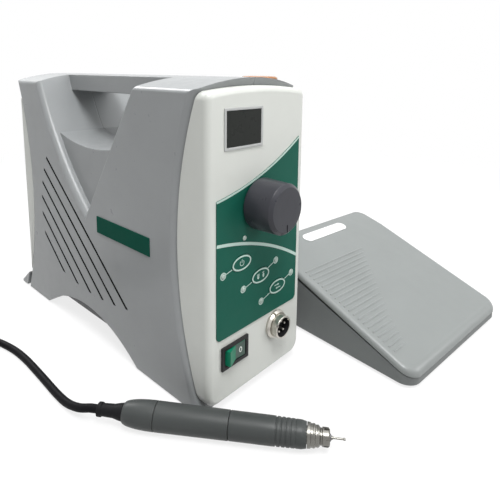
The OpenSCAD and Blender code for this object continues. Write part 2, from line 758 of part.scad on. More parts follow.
// Handpiece
module hand_rear_cap() color("#5e6261") at_hand() difference() {
    rise = hand_r - cap_end_r;
    turned(concat([[0, 0], [0, cap_end_r]],
        [for (a = [15:15:90]) [cap_dome * (1 - cos(a)), cap_end_r + rise * sin(a)]],
        [[cap_l, hand_r], [cap_l, spigot_r], [cap_l + 8, spigot_r], [cap_l + 8, 0]]));
    ring_x(-eps, boot_plug_l, boot_plug_r + run, 0);
    ring_x(-eps, cap_l + 9, cord_d / 2 + slip, 0);
    ring_x(rear_bearing_x, cap_l + 9, seat_r + 0.02, 0);
}
module hand_casing() color("#5e6261") at_hand() turned([[casing_x, casing_bore], [casing_x, hand_r],
    [casing_x + casing_l - joint_gap, grip_rear_r + 0.1], [casing_x + casing_l - joint_gap, neck_r],
    [nose_x - joint_gap, neck_r], [nose_x - joint_gap, neck_bore], [grip_x - 4, neck_bore],
    [grip_x - 6, casing_bore]]);
module grip_sleeve() color("#565a59") at_hand() difference() {
    turned([[grip_x, neck_r + run], [grip_x, grip_rear_r], [grip_x + grip_l * 0.55, grip_r + 0.5],
        [grip_x + grip_l - 3, grip_r], [grip_x + grip_l, grip_r - 0.6], [grip_x + grip_l, neck_r + run]]);
    for (i = [0:groove_count - 1])
        ring_x(groove_x + i * groove_pitch, groove_x + i * groove_pitch + groove_w, hand_r + eps, grip_r - 0.1);
}
module nose_cone() color("#b4b1a8") at_hand() difference() {
    union() {
        turned([[nose_x, 0], [nose_x, grip_r - 0.6], [nose_x + 2, grip_r - 0.8], [nose_x + 2.4, grip_r - 1.3],
            [nose_x + 3.4, grip_r - 1.4], [nose_x + 3.8, grip_r - 1.1], [nose_x + 4.8, grip_r - 1.3],
            [nose_x + 5.2, grip_r - 1.8], [nose_x + 6.2, grip_r - 1.9], [nose_x + 6.6, grip_r - 1.6],
            [nose_x + 7.6, nose_mid_r + 0.2], [nose_x + 8.2, nose_mid_r - 0.6], [nose_x + 9, nose_mid_r - 0.6],
            [nose_x + 9.4, nose_mid_r], [tip_x - 1, nose_mid_r], [tip_x, nose_mid_r - 1], [tip_x, 0]]);
        ring_x(nose_x - nose_spigot_l, nose_x + 0.5, nose_spigot_r, 0);
    }
    ring_x(nose_x - nose_spigot_l - eps, head_x - 1, nose_seat_r + 0.02, 0);
    ring_x(head_x - 2, tip_x + eps, nose_bore, 0);
    for (a = [0:60:300]) rotate([a, 0, 0])
        translate([nose_x + 10.4, -0.9, nose_mid_r - 0.8]) cube([nose_l, 1.8, 3]);
}
module spindle() color("#c2c4c6") at_hand() difference() {
    turned([[spindle_x, 0], [spindle_x, spindle_r], [head_x, spindle_r], [head_x, head_out_r],
        [tip_x - 1, head_out_r], [tip_x - 1, 0]]);
    ring_x(collet_x - seam, tip_x, collet_r + run, 0);
}
module rotor_magnet() color("#4b4d52") at_hand()
    ring_x(casing_x + 18, casing_x + casing_l - 12, casing_bore - 3.2, spindle_r + 0.01);
module stator() color("#8a5a2c") at_hand()
    ring_x(casing_x + 16, casing_x + casing_l - 10, casing_bore - run, casing_bore - 2.8);
module front_bearing() color("#d0d2d4") at_hand()
    ring_x(front_bearing_x, front_bearing_x + bearing_l, nose_seat_r, spindle_r + run);
module rear_bearing() color("#d0d2d4") at_hand()
    ring_x(rear_bearing_x, rear_bearing_x + bearing_l, seat_r, spindle_r + run);
module collet() color("#2b2b2d") at_hand()
    ring_x(collet_x, tip_x + 0.8, collet_r, shank_d / 2 + 0.02);
module tool_bit() color("#9fa2a5") at_hand() turned([
    [collet_x, 0], [collet_x, shank_d / 2], [tip_x + 1.4, shank_d / 2],
    [tip_x + 2, 0.65], [tip_x + tool_l - 1.4, 0.6], [tip_x + tool_l - 1.2, 0.85], [tip_x + tool_l, 0.75],
    [tip_x + tool_l, 0]]);
module strain_relief() color("#101010") at_hand() turned([[-boot_l, 0], [-boot_l, boot_small_r + 0.6],
    [-boot_l + 2.6, boot_small_r + 0.6], [-boot_l + 3, boot_small_r], [-7, boot_small_r + 0.3],
    [-3, cap_end_r - 0.7], [-0.1, cap_end_r - 0.2], [-0.1, boot_plug_r], [boot_plug_l - 0.2, boot_plug_r],
    [boot_plug_l - 0.2, 0]]);

// Swept tubes: rings of points round a path that never runs straight up
function unit_of(v) = v / norm(v);
function heading(p, i) = unit_of(p[min(i + 1, len(p) - 1)] - p[max(i - 1, 0)]);
function ring_at(c, t, r, n) =
    let (s = unit_of(cross([0, 0, 1], t)), u = cross(t, s))
    [for (k = [0:n - 1]) c + r * (cos(360 / n * k) * s + sin(360 / n * k) * u)];
function curve_at(a, b, c, d, t) =
    0.5 * (2 * b + (c - a) * t + (2 * a - 5 * b + 4 * c - d) * t * t + (3 * b - a - 3 * c + d) * t * t * t);
function smooth(p, n) = concat([for (i = [1:len(p) - 3], k = [0:n - 1])
    curve_at(p[i - 1], p[i], p[i + 1], p[i + 2], k / n)], [p[len(p) - 2]]);
module tube(path, r, n) {
    m = len(path);
    points = [for (i = [0:m - 1]) each ring_at(path[i], heading(path, i), r, n)];
    walls = [for (i = [0:m - 2], k = [0:n - 1]) let (a = i * n + k, b = i * n + (k + 1) % n)
        each [[a, b, a + n], [b, b + n, a + n]]];
    polyhedron(concat(points, [path[0], path[m - 1]]), concat(walls,
        [for (k = [0:n - 1]) [m * n, (k + 1) % n, k]],
        [for (k = [0:n - 1]) [m * n + 1, (m - 1) * n + k, (m - 1) * n + (k + 1) % n]]));
}
hand_dir = [cos(hand_turn), sin(hand_turn), 0];
cord_start = [hand_at[0], hand_at[1], hand_r] - boot_l * hand_dir;
coil_dir = [-sin(coil_turn), cos(coil_turn), 0];
coil_start = [coil_at[0] + coil_r * cos(coil_turn), coil_at[1] + coil_r * sin(coil_turn), coil_low_z];
coil_meet = coil_start - cord_d * coil_dir;
coil_end = [coil_start[0], coil_start[1], coil_high_z];
plug_meet = coil_end + plug_run * coil_dir;
cord_path = concat([cord_start, cord_start - 0.5 * cord_d * hand_dir],
    smooth(concat([cord_start], [cord_start - cord_d * hand_dir], cord_route,
        [coil_meet - cord_d * coil_dir, coil_meet]), 3), [coil_meet]);
// The coil spirals in on the low layer, climbs in half a turn and spirals out on the high layer
layer_angle = 360 * layer_turns;
coil_angle = 2 * layer_angle + 180;
function coil_radius(a) =
    a < layer_angle ? coil_r - coil_pitch * a / 360
    : a > layer_angle + 180 ? coil_inner + coil_pitch * (a - layer_angle - 180) / 360
    : coil_inner - coil_dip * sin(a - layer_angle);
function coil_height(a) =
    let (f = max(0, min(1, (a - layer_angle) / 180)))
    coil_low_z + coil_pitch * f * f * (3 - 2 * f);
function coil_point(a) = [coil_at[0] + coil_radius(a) * cos(coil_turn + a),
    coil_at[1] + coil_radius(a) * sin(coil_turn + a), coil_height(a)];
coil_path = concat([coil_meet, coil_start - 0.5 * cord_d * coil_dir],
    [for (a = [0:360 / coil_steps:coil_angle]) coil_point(a)], [coil_end + 0.5 * cord_d * coil_dir, plug_meet]);
coil_clear = min([for (i = [0:len(coil_path) - 1], j = [i + 8:1:len(coil_path) - 1])
    norm(coil_path[i] - coil_path[j])]) - cord_d;
function run_length(p) = norm_sum(p, len(p) - 1);
function norm_sum(p, i) = i == 0 ? 0 : norm(p[i] - p[i - 1]) + norm_sum(p, i - 1);
echo(least_coil_gap = coil_clear, cord_length = run_length(cord_path) + run_length(coil_path));

module motor_cord() color("#141414") tube(cord_path, cord_d / 2, 8);
module cord_coil() color("#141414") tube(coil_path, cord_d / 2, coil_sides);
module at_tie() translate([coil_at[0], coil_at[1], 0]) rotate([0, 0, coil_turn + tie_angle]) children();
module cord_tie() color("#303030") at_tie() {
    from = coil_inner - coil_dip - cord_d / 2 - 1;
    to = coil_r + cord_d / 2 + 0.8;
    high = coil_high_z + cord_d / 2 + 0.3;
    difference() {
        translate([from - tie_t, -tie_w / 2, 0]) cube([to - from + 2 * tie_t, tie_w, high + tie_t]);
        translate([from, -tie_w, tie_t]) cube([to - from, 2 * tie_w, high - tie_t]);
    }
}
module at_plug() translate(plug_meet) rotate([0, 0, coil_turn + 90]) children();
module cord_plug() color("#b9b8b2") at_plug() difference() {
    turned([[0, 0], [0, cord_d / 2 + 0.3], [plug_boot_l / 2, cord_d / 2 + 0.75],
        [plug_boot_l - 1, cord_d / 2 + 2.3], [plug_boot_l, cord_d / 2 + 2.3],
        [plug_boot_l, plug_r], [plug_boot_l + plug_l, plug_r], [plug_boot_l + plug_l, 0]]);
    for (i = [0:pin_count - 1]) rotate([360 / pin_count * i, 0, 0])
        rod_x([0, pin_ring], plug_boot_l + plug_l - 8, plug_boot_l + plug_l + eps, pin_r + run);
}
module plug_ring() color("#c9c8c2") at_plug() {
    to = plug_boot_l + plug_l;
    turned([[to - ring_l, plug_r + run], [to - 7, plug_r + run], [to - 7, socket_r + slip],
        [to, socket_r + slip], [to, ring_r], [to - ring_l, ring_r]]);
}

// Pedal
module plan(inset) {
    w = pedal_w - 2 * inset;
    l = pedal_l - 2 * inset;
    r = pedal_round - inset;
    square([w - 2 * r, l], center = true);
    square([w, l - 2 * r], center = true);
    for (sx = [-1, 1], sy = [-1, 1]) translate([sx * (w / 2 - r), sy * (l / 2 - r)]) circle(r);
}
function press_gap(y) = 0.5 + (y - hinge_y) * sin(press_angle);
function base_top(y) = deck_z(y) - rim_h - press_gap(y);
module treadle_side(drop, low) polygon([[-pedal_l, low], [-pedal_l, deck_z(-pedal_l) - drop],
    [crease_y, deck_z(crease_y) - drop], [pedal_l, deck_z(pedal_l) - drop], [pedal_l, low]]);
module treadle_block(inset, drop) intersection() {
    linear_extrude(2 * pedal_back_h) plan(inset);
    across(pedal_w) treadle_side(drop, 0);
}
// Cut that rounds the front edge of the treadle
module nose_cut() {
    y = nose_r - pedal_l / 2;
    across(pedal_w + eps) translate([y, deck_z(y) - nose_r / cos(deck_slope)]) difference() {
        polygon([[0, 0], [-4 * nose_r * sin(deck_slope), 4 * nose_r * cos(deck_slope)],
            [-4 * nose_r, 4 * nose_r], [-4 * nose_r, 0]]);
        circle(nose_r + blend);
    }
}
module pedal_treadle() color("#a8adab") at_pedal() difference() {
    union() {
        difference() {
            treadle_block(0, 0);
            translate([0, 0, -eps]) treadle_block(shell_t, shell_t - eps);
            across(pedal_w + eps) treadle_side(rim_h, -eps);
            nose_cut();
        }
        for (s = [-1, 1]) intersection() {
            translate([s * treadle_lug_x - lug_l / 2, hinge_y - lug_r, hinge_z - lug_r])
                cube([lug_l, 2 * lug_r, pedal_back_h]);
            treadle_block(eps, eps);
        }
        intersection() {
            translate([spring_at[0], spring_at[1], spring_high + 0.2])
                cylinder(r = spring_r + 2, h = pedal_back_h);
            treadle_block(eps, eps);
        }
        translate([spring_at[0], spring_at[1], spring_high - 3]) cylinder(r = spring_r - spring_wire, h = 4);
        for (i = [0:rib_count - 1]) {
            y = rib_from + i * (rib_to - rib_from) / (rib_count - 1);
            end = rib_ends[0] + (rib_ends[1] - rib_ends[0]) * i / (rib_count - 1);
            fade = min(rib_fade, (end + rib_half) * 0.6);
            translate([0, y, deck_z(y)]) rotate([deck_slope, 0, 0]) rotate([90, 0, 0])
                linear_extrude(rib_w, center = true) polygon([[-rib_half, -rib_root], [end, -rib_root],
                    [end - fade, rib_h], [-rib_half, rib_h]]);
        }
    }
    rod_x([hinge_y, hinge_z], -pedal_w, pedal_w, hinge_r + run);
}
module pedal_base() color("#8d9291") at_pedal() difference() {
    intersection() {
        translate([0, 0, pedal_floor_z]) linear_extrude(pedal_back_h) plan(base_inset);
        across(pedal_w) polygon([[-pedal_l, 0], [-pedal_l, base_top(-pedal_l)], [crease_y, base_top(crease_y)],
            [pedal_l, base_top(pedal_l)], [pedal_l, 0]]);
    }
    difference() {
        translate([0, 0, pedal_floor_z + shell_t]) linear_extrude(pedal_back_h) plan(base_inset + shell_t);
        for (s = [-1, 1]) translate([s * base_lug_x - lug_l / 2, hinge_y - lug_r, 0])
            cube([lug_l, 2 * lug_r, hinge_z + lug_r]);
    }
    rod_x([hinge_y, hinge_z], -base_lug_x - lug_l / 2, base_lug_x + lug_l / 2, hinge_r + run);
    for (p = pedal_feet_at) translate([p[0], p[1], 0]) cylinder(r = foot_r + slip, h = foot_t + 1);
    rod_y([0, gland_z], pedal_l / 2 - base_inset - shell_t - eps, pedal_l, gland_r + slip);
}
pedal_feet_at = [for (sx = [-1, 1], sy = [-1, 1])
    [sx * (pedal_w / 2 - pedal_foot_in[0]), sy * (pedal_l / 2 - pedal_foot_in[1])]];
module pedal_pin() color("#b5b8ba") at_pedal()
    rod_x([hinge_y, hinge_z], -base_lug_x - lug_l / 2 + 1, base_lug_x + lug_l / 2 - 1, hinge_r);
module pedal_spring() color("#a2a5a8") at_pedal() translate([spring_at[0], spring_at[1], 0])
    tube([for (i = [0:8 * spring_turns]) [spring_r * cos(45 * i), spring_r * sin(45 * i),
        spring_low + spring_wire / 2 + (spring_high - spring_low - spring_wire) * i / (8 * spring_turns)]],
        spring_wire / 2, 6);
module pedal_sensor() color("#1d5b3a") at_pedal()
    translate([-sensor_size[0] / 2, pedal_l / 2 - sensor_back, pedal_floor_z + shell_t]) cube(sensor_size);
module pedal_feet() color("#222222") at_pedal()
    for (p = pedal_feet_at) translate([p[0], p[1], 0]) cylinder(r = foot_r, h = foot_t + 1);
module pedal_badge() color("#e4e6e4") at_pedal()
    translate([-pedal_w / 2 + oval_in, crease_y + crease_back * 0.5, deck_z(crease_y + crease_back * 0.5)])
        rotate([back_slope, 0, 0]) linear_extrude(0.6) {
            square([oval_w - oval_h, oval_h], center = true);
            for (s = [-1, 1]) translate([s * (oval_w - oval_h) / 2, 0]) circle(oval_h / 2);
        }
module pedal_gland() color("#1b1b1b") at_pedal() {
    back = pedal_l / 2 - base_inset;
    rod_y([0, gland_z], back - shell_t - 2, back + 1, gland_r);
    rod_y([0, gland_z], back + 0.1, back + gland_out, gland_r + 1);
}

housing_left();
housing_right();
front_bezel();
rear_panel();
base_plate();
front_overlay();
display_trim();
display_window();
display_module();
speed_knob();
pot_body();
pot_shaft();
switch_frame();
power_rocker();
socket_shell();
socket_nut();
socket_insert();
socket_pins();
key_left();
key_middle();
key_right();
indicator_leds();
control_board();
power_supply();
driver_board();
heat_sink();
mains_inlet();
fuse_holder();
pedal_socket();
rubber_feet();
housing_screws();
top_pad();
side_badges();
hand_rear_cap();
hand_casing();
grip_sleeve();
nose_cone();
spindle();
rotor_magnet();
stator();
front_bearing();
rear_bearing();
collet();
tool_bit();
strain_relief();
motor_cord();
cord_coil();
cord_tie();
cord_plug();
plug_ring();
pedal_base();
pedal_treadle();
pedal_pin();
pedal_spring();
pedal_sensor();
pedal_feet();
pedal_badge();
pedal_gland();
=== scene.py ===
import math
import bpy
import bmesh
from mathutils import Matrix, Vector


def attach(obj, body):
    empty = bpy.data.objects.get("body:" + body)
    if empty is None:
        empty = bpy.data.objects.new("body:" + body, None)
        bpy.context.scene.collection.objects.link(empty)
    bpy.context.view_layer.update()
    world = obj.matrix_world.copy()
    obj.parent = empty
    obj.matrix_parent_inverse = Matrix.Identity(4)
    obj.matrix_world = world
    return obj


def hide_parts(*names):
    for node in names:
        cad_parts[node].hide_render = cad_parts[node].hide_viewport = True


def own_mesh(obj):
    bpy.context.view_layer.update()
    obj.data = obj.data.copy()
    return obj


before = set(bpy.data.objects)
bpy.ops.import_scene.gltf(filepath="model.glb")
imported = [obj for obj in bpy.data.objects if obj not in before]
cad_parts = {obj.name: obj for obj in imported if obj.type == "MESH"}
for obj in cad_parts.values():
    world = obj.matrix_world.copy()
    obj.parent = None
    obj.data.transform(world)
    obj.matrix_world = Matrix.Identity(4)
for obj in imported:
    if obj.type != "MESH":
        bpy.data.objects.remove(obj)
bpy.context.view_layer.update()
print("frame loaded:", len(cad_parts), "nodes")

# Sizes below are millimetres, and are turned to metres when a mesh is made
mm = 0.001
unitPlace = Matrix.Translation((-76, -97, 0))
handPlace = Matrix.Translation((-165, -58, 9)) @ Matrix.Rotation(math.radians(-56), 4, "Z")
pedalPlace = Matrix.Translation((82, -113, 0)) @ Matrix.Rotation(math.radians(-5.5), 4, "Z")
axisToFront = Matrix(((0, 1, 0, 0), (-1, 0, 0, 0), (0, 0, 1, 0), (0, 0, 0, 1)))
axisToRear = Matrix.Rotation(math.radians(90), 4, "Z")
axisToTop = Matrix.Rotation(math.radians(-90), 4, "Y")


def frontAt(x, z):
    return unitPlace @ Matrix.Translation((x, 0, z)) @ axisToFront


def rearAt(x, z):
    return unitPlace @ Matrix.Translation((x, 279, z)) @ axisToRear


# Camera at the photograph's place
view = {"at": (-308.807, -298.011, 232.0), "yaw": -47.748, "pitch": 8.651, "roll": 0.606, "lens": 32.598,
        "shift": -0.22}


def makeCamera(v):
    yaw, pitch, roll = (math.radians(v[k]) for k in ("yaw", "pitch", "roll"))
    back = Vector((math.sin(yaw) * math.cos(pitch), -math.cos(yaw) * math.cos(pitch), math.sin(pitch)))
    side = (-back).cross(Vector((0, 0, 1))).normalized()
    up = side.cross(-back)
    right = math.cos(roll) * side + math.sin(roll) * up
    top = math.cos(roll) * up - math.sin(roll) * side
    data = bpy.data.cameras.new("photoCamera")
    data.sensor_width = 36
    data.lens = v["lens"]
    data.shift_y = v["shift"]
    data.clip_start = 0.01
    cam = bpy.data.objects.new("photoCamera", data)
    bpy.context.scene.collection.objects.link(cam)
    turn = Matrix((right, top, back)).transposed().to_4x4()
    cam.matrix_world = Matrix.Translation(Vector(v["at"]) * mm) @ turn
    bpy.context.scene.camera = cam


makeCamera(view)
print("camera placed")


# Materials: every finish is built from noise on object coordinates
def newFinish(name):
    mat = bpy.data.materials.new(name)
    mat.use_nodes = True
    tree = mat.node_tree
    return mat, tree, tree.nodes["Principled BSDF"]


def addNode(tree, kind, links=(), **values):
    node = tree.nodes.new(kind)
    for key, value in values.items():
        setattr(node, key, value)
    for socket, source in links:
        if hasattr(source, "is_output"):
            tree.links.new(source, node.inputs[socket])
        else:
            node.inputs[socket].default_value = source
    return node


def objectCoords(tree, stretch=None):
    coords = addNode(tree, "ShaderNodeTexCoord").outputs["Object"]
    if stretch is None:
        return coords
    return addNode(tree, "ShaderNodeMapping", [("Vector", coords), ("Scale", stretch)]).outputs["Vector"]


def noiseAt(tree, coords, sizeMm, detail=3.0, rough=0.55):
    node = addNode(tree, "ShaderNodeTexNoise", [("Vector", coords), ("Scale", 1000.0 / sizeMm),
                                                ("Detail", detail), ("Roughness", rough)])
    return node.outputs["Fac"]


def spread(tree, value, low, high, fromLow=0.3, fromHigh=0.7):
    node = addNode(tree, "ShaderNodeMapRange", [("Value", value), ("From Min", fromLow),
                                                ("From Max", fromHigh), ("To Min", low), ("To Max", high)])
    return node.outputs["Result"]


def tinted(tree, value, dark, light):
    node = addNode(tree, "ShaderNodeMix", data_type="RGBA")
    tree.links.new(value, node.inputs["Factor"])
    node.inputs[6].default_value = (*dark, 1)
    node.inputs[7].default_value = (*light, 1)
    return node.outputs[2]


def shade(colour, k):
    return tuple(min(1.0, c * k) for c in colour)


def moulded(name, colour, rough=0.5, grain=0.45, depth=0.03, mottle=0.05, specular=0.5, coat=0.0, edge=0.0):
    mat, tree, bsdf = newFinish(name)
    coords = objectCoords(tree)
    cloud = spread(tree, noiseAt(tree, coords, 38, 4), 0, 1)
    tree.links.new(tinted(tree, cloud, shade(colour, 1 - mottle), shade(colour, 1 + mottle)),
                   bsdf.inputs["Base Color"])
    smear = noiseAt(tree, coords, 9, 5, 0.65)
    tree.links.new(spread(tree, smear, rough - 0.06, rough + 0.06), bsdf.inputs["Roughness"])
    fine = noiseAt(tree, coords, grain, 2)
    bump = addNode(tree, "ShaderNodeBump", [("Strength", 0.5), ("Distance", depth * mm), ("Height", fine)])
    if edge:  # worn look of a rounded edge
        rounded = addNode(tree, "ShaderNodeBevel", [("Radius", edge * mm)], samples=8)
        tree.links.new(rounded.outputs["Normal"], bump.inputs["Normal"])
    tree.links.new(bump.outputs["Normal"], bsdf.inputs["Normal"])
    bsdf.inputs["Specular IOR Level"].default_value = specular
    bsdf.inputs["Coat Weight"].default_value = coat
    bsdf.inputs["Coat Roughness"].default_value = 0.12
    return mat


def turnedMetal(name, colour, rough=0.22, lines=0.25, stretch=(1, 1, 1), depth=0.006):
    mat, tree, bsdf = newFinish(name)
    coords = objectCoords(tree, stretch)
    streak = noiseAt(tree, coords, lines, 4, 0.7)
    smudge = noiseAt(tree, objectCoords(tree), 7, 5, 0.6)
    tree.links.new(tinted(tree, spread(tree, smudge, 0, 1), shade(colour, 0.86), shade(colour, 1.06)),
                   bsdf.inputs["Base Color"])
    tree.links.new(spread(tree, smudge, rough - 0.07, rough + 0.1), bsdf.inputs["Roughness"])
    bump = addNode(tree, "ShaderNodeBump", [("Strength", 0.4), ("Distance", depth * mm), ("Height", streak)])
    tree.links.new(bump.outputs["Normal"], bsdf.inputs["Normal"])
    bsdf.inputs["Metallic"].default_value = 1.0
    return mat


# Plastic given a painted glow: its emission stands in for light falling on it and is not a lamp
def glowPaintedPlastic(name, colour, glow, rough=0.25):
    mat = moulded(name, colour, rough, 0.6, 0.01, 0.06, 0.25)
    bsdf = mat.node_tree.nodes["Principled BSDF"]
    bsdf.inputs["Emission Color"].default_value = (*colour, 1)
    bsdf.inputs["Emission Strength"].default_value = glow
    return mat


finish = {
    "casing": moulded("casingGrey", (0.285, 0.297, 0.302), 0.33, 0.5, 0.02, 0.03, 0.42, 0.0, 1.5),
    "bezel": moulded("bezelWhite", (0.62, 0.635, 0.60), 0.36, 0.6, 0.012, 0.02, 0.4),
    "film": moulded("overlayFilm", (0.006, 0.088, 0.060), 0.5, 0.35, 0.012, 0.05, 0.15),
    "print": moulded("printedLine", (0.46, 0.60, 0.54), 0.4, 0.5, 0.004, 0.02),
    "badge": moulded("badgeGreen", (0.001, 0.062, 0.040), 0.6, 0.5, 0.006, 0.06, 0.05),
    "trim": moulded("trimGrey", (0.42, 0.43, 0.425), 0.4, 0.5, 0.012, 0.03),
    "screen": moulded("screenWindow", (0.020, 0.022, 0.020), 0.3, 2.0, 0.001, 0.03, 0.12),
    "black": moulded("blackPlastic", (0.014, 0.014, 0.015), 0.45, 0.4, 0.02, 0.12, 0.2),
    # near-black painted shade for the walls inside the vent slots
    "slotShadeBlack": moulded("slotShadeBlack", (0.008, 0.008, 0.008), 0.7, 0.5, 0.01, 0.1, 0.1),
    "knob": moulded("knobGrey", (0.040, 0.041, 0.049), 0.32, 0.35, 0.015, 0.05, 0.25),
    # painted glow: the rocker's green plastic gets emission 0.12 that stands in for light
    "rockerGreen": glowPaintedPlastic("rockerGreen", (0.004, 0.16, 0.085), 0.12, 0.4),
    "rockerFace": moulded("rockerFace", (0.060, 0.098, 0.080), 0.4, 0.6, 0.008, 0.05, 0.25),
    "signWhite": moulded("signWhite", (0.72, 0.76, 0.72), 0.4, 0.5, 0.004, 0.02),
    "nickel": turnedMetal("nickelPlate", (0.56, 0.54, 0.49), 0.32, 0.3),
    "steel": turnedMetal("turnedSteel", (0.20, 0.195, 0.18), 0.26, 0.3),
    "darkSteel": turnedMetal("darkSteel", (0.13, 0.13, 0.14), 0.34, 0.4),
    "gold": turnedMetal("platedContact", (0.80, 0.62, 0.28), 0.22, 0.4),
    "aluminium": turnedMetal("plainAluminium", (0.62, 0.63, 0.64), 0.38, 0.5),
    "board": moulded("circuitBoard", (0.012, 0.105, 0.045), 0.35, 1.5, 0.02, 0.15, 0.5, 0.3),
    "rubber": moulded("blackRubber", (0.009, 0.009, 0.010), 0.5, 0.3, 0.03, 0.15, 0.1),
    "cordJacket": moulded("cordJacket", (0.006, 0.006, 0.007), 0.5, 0.6, 0.02, 0.1, 0.06),
    "lamp": moulded("lampLens", (0.36, 0.45, 0.40), 0.18, 0.8, 0.004, 0.06, 0.5, 0.6),
    "amber": moulded("amberPad", (0.36, 0.13, 0.018), 0.22, 1.2, 0.006, 0.12, 0.5, 0.5),
    "handGrey": moulded("handpieceCoat", (0.052, 0.057, 0.056), 0.42, 0.22, 0.018, 0.05, 0.25),
    "winding": turnedMetal("copperWinding", (0.55, 0.26, 0.12), 0.35, 0.4),
    "treadle": moulded("pedalGrey", (0.222, 0.237, 0.233), 0.36, 0.5, 0.02, 0.025, 0.5, 0.0, 0.8),
    "pedalBase": moulded("pedalBaseGrey", (0.165, 0.176, 0.174), 0.5, 0.5, 0.03, 0.03, 0.3),
    "label": moulded("plainLabel", (0.76, 0.77, 0.77), 0.3, 0.8, 0.004, 0.02, 0.5, 0.2),
    "tray": moulded("paintedTray", (0.045, 0.048, 0.052), 0.45, 0.8, 0.02, 0.08),
    "strap": moulded("tieStrap", (0.02, 0.02, 0.021), 0.8, 0.5, 0.08, 0.2, 0.2),
}
print("finishes made:", len(finish))


# Mesh helpers
def makePiece(name, verts, faces, look, place=None):
    move = place or Matrix.Identity(4)
    mesh = bpy.data.meshes.new(name)
    mesh.from_pydata([(move @ Vector(v)) * mm for v in verts], [], faces)
    mesh.validate()
    obj = bpy.data.objects.new(name, mesh)
    bpy.context.scene.collection.objects.link(obj)
    for material in look if isinstance(look, list) else [look]:
        mesh.materials.append(material)
    return obj


def smoothBy(obj, angle=32):
    obj.data.shade_smooth()
    obj.data.set_sharp_from_angle(angle=math.radians(angle))


def outward(obj):
    bm = bmesh.new()
    bm.from_mesh(obj.data)
    bmesh.ops.remove_doubles(bm, verts=bm.verts, dist=1e-6)
    bmesh.ops.recalc_face_normals(bm, faces=bm.faces)
    bm.to_mesh(obj.data)
    bm.free()


def settle(obj):
    dg = bpy.context.evaluated_depsgraph_get()
    old = obj.data
    mesh = bpy.data.meshes.new_from_object(obj.evaluated_get(dg))
    obj.modifiers.clear()
    obj.data = mesh
    bpy.data.meshes.remove(old)


def seat(obj, body, nodes=()):
    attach(obj, body)
    if nodes:
        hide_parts(*nodes)
    return obj


def fillets(points, closed, steps=4):
    out = []
    n = len(points)
    for i, p in enumerate(points):
        here = Vector(p[:2])
        radius = p[2] if len(p) > 2 else 0
        if not radius or (not closed and i in (0, n - 1)):
            out.append(here)
            continue
        a = Vector(points[i - 1][:2]) - here
        b = Vector(points[(i + 1) % n][:2]) - here
        half = a.angle(b) / 2
        reach = min(radius / math.tan(half), 0.45 * a.length, 0.45 * b.length)
        start, end = here + a.normalized() * reach, here + b.normalized() * reach
        for k in range(steps + 1):
            s = k / steps
            out.append((1 - s) ** 2 * start + 2 * s * (1 - s) * here + s * s * end)
    return out


# Turned piece: profile points are distance along the axis, radius and edge rounding
def lathe(name, profile, place, look, steps=96, closed=False):
    line = fillets(profile, closed)
    verts, rings = [], []
    for x, r in line:
        if r < 1e-6:
            rings.append([len(verts)])
            verts.append((x, 0, 0))
        else:
            rings.append(list(range(len(verts), len(verts) + steps)))
            verts += [(x, r * math.cos(2 * math.pi * k / steps), r * math.sin(2 * math.pi * k / steps))
                      for k in range(steps)]
    faces = []
    pairs = list(zip(rings, rings[1:])) + ([(rings[-1], rings[0])] if closed else [])
    for a, b in pairs:
        for k in range(steps):
            j = (k + 1) % steps
            ring = [a[k % len(a)], a[j % len(a)], b[j % len(b)], b[k % len(b)]]
            face = [v for i, v in enumerate(ring) if v not in ring[:i]]
            if len(face) > 2:
                faces.append(face)
    obj = makePiece(name, verts, faces, look, place)
    outward(obj)
    smoothBy(obj)
    return obj


def carve(obj, cutters):
    for cutter in cutters:
        mod = obj.modifiers.new("carve", "BOOLEAN")
        mod.operation = "DIFFERENCE"
        mod.solver = "EXACT"
        mod.object = cutter
    settle(obj)
    for cutter in cutters:
        bpy.data.objects.remove(cutter)


def joined(name, parts):
    bm = bmesh.new()
    for part in parts:
        bm.from_mesh(part.data)
    first = parts[0]
    bm.to_mesh(first.data)
    bm.free()
    for part in parts[1:]:
        bpy.data.objects.remove(part)
    first.name = first.data.name = name
    return first


def boxAt(name, low, high, look, place=None):
    x, y, z = zip(low, high)
    verts = [(x[i], y[j], z[k]) for i in (0, 1) for j in (0, 1) for k in (0, 1)]
    faces = [(0, 1, 3, 2), (4, 6, 7, 5), (0, 4, 5, 1), (2, 3, 7, 6), (0, 2, 6, 4), (1, 5, 7, 3)]
    obj = makePiece(name, verts, faces, look, place)
    outward(obj)
    return obj


# A CAD solid's copy with its sharp edges rounded; widthAt gives each edge's rounding in mm
def softCopy(node, name, look, widthAt, widest, segments=3, angle=25, shadeAngle=32, clamp=False):
    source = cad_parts[node].data
    bm = bmesh.new()
    bm.from_mesh(source)
    bmesh.ops.remove_doubles(bm, verts=bm.verts, dist=3e-6)
    bm.verts.index_update()
    verts = [v.co / mm for v in bm.verts]
    faces = [[v.index for v in f.verts] for f in bm.faces]
    bm.free()
    obj = makePiece(name, verts, faces, look)
    bm = bmesh.new()
    bm.from_mesh(obj.data)
    bmesh.ops.dissolve_limit(bm, angle_limit=math.radians(0.4), verts=bm.verts, edges=bm.edges)
    weight = bm.edges.layers.float.new("bevel_weight_edge")
    for e in bm.edges:
        if len(e.link_faces) == 2 and e.calc_face_angle(0) > math.radians(angle):
            mid = (e.verts[0].co + e.verts[1].co) / 2 / mm
            e[weight] = min(1.0, widthAt(mid) / widest)
    bm.to_mesh(obj.data)
    bm.free()
    mod = obj.modifiers.new("edges", "BEVEL")
    mod.limit_method = "WEIGHT"
    mod.offset_type = "OFFSET"
    mod.width = widest * mm
    mod.segments = segments
    mod.use_clamp_overlap = clamp
    settle(obj)
    smoothBy(obj, shadeAngle)
    mod = obj.modifiers.new("normals", "WEIGHTED_NORMAL")
    mod.keep_sharp = True
    settle(obj)
    return obj


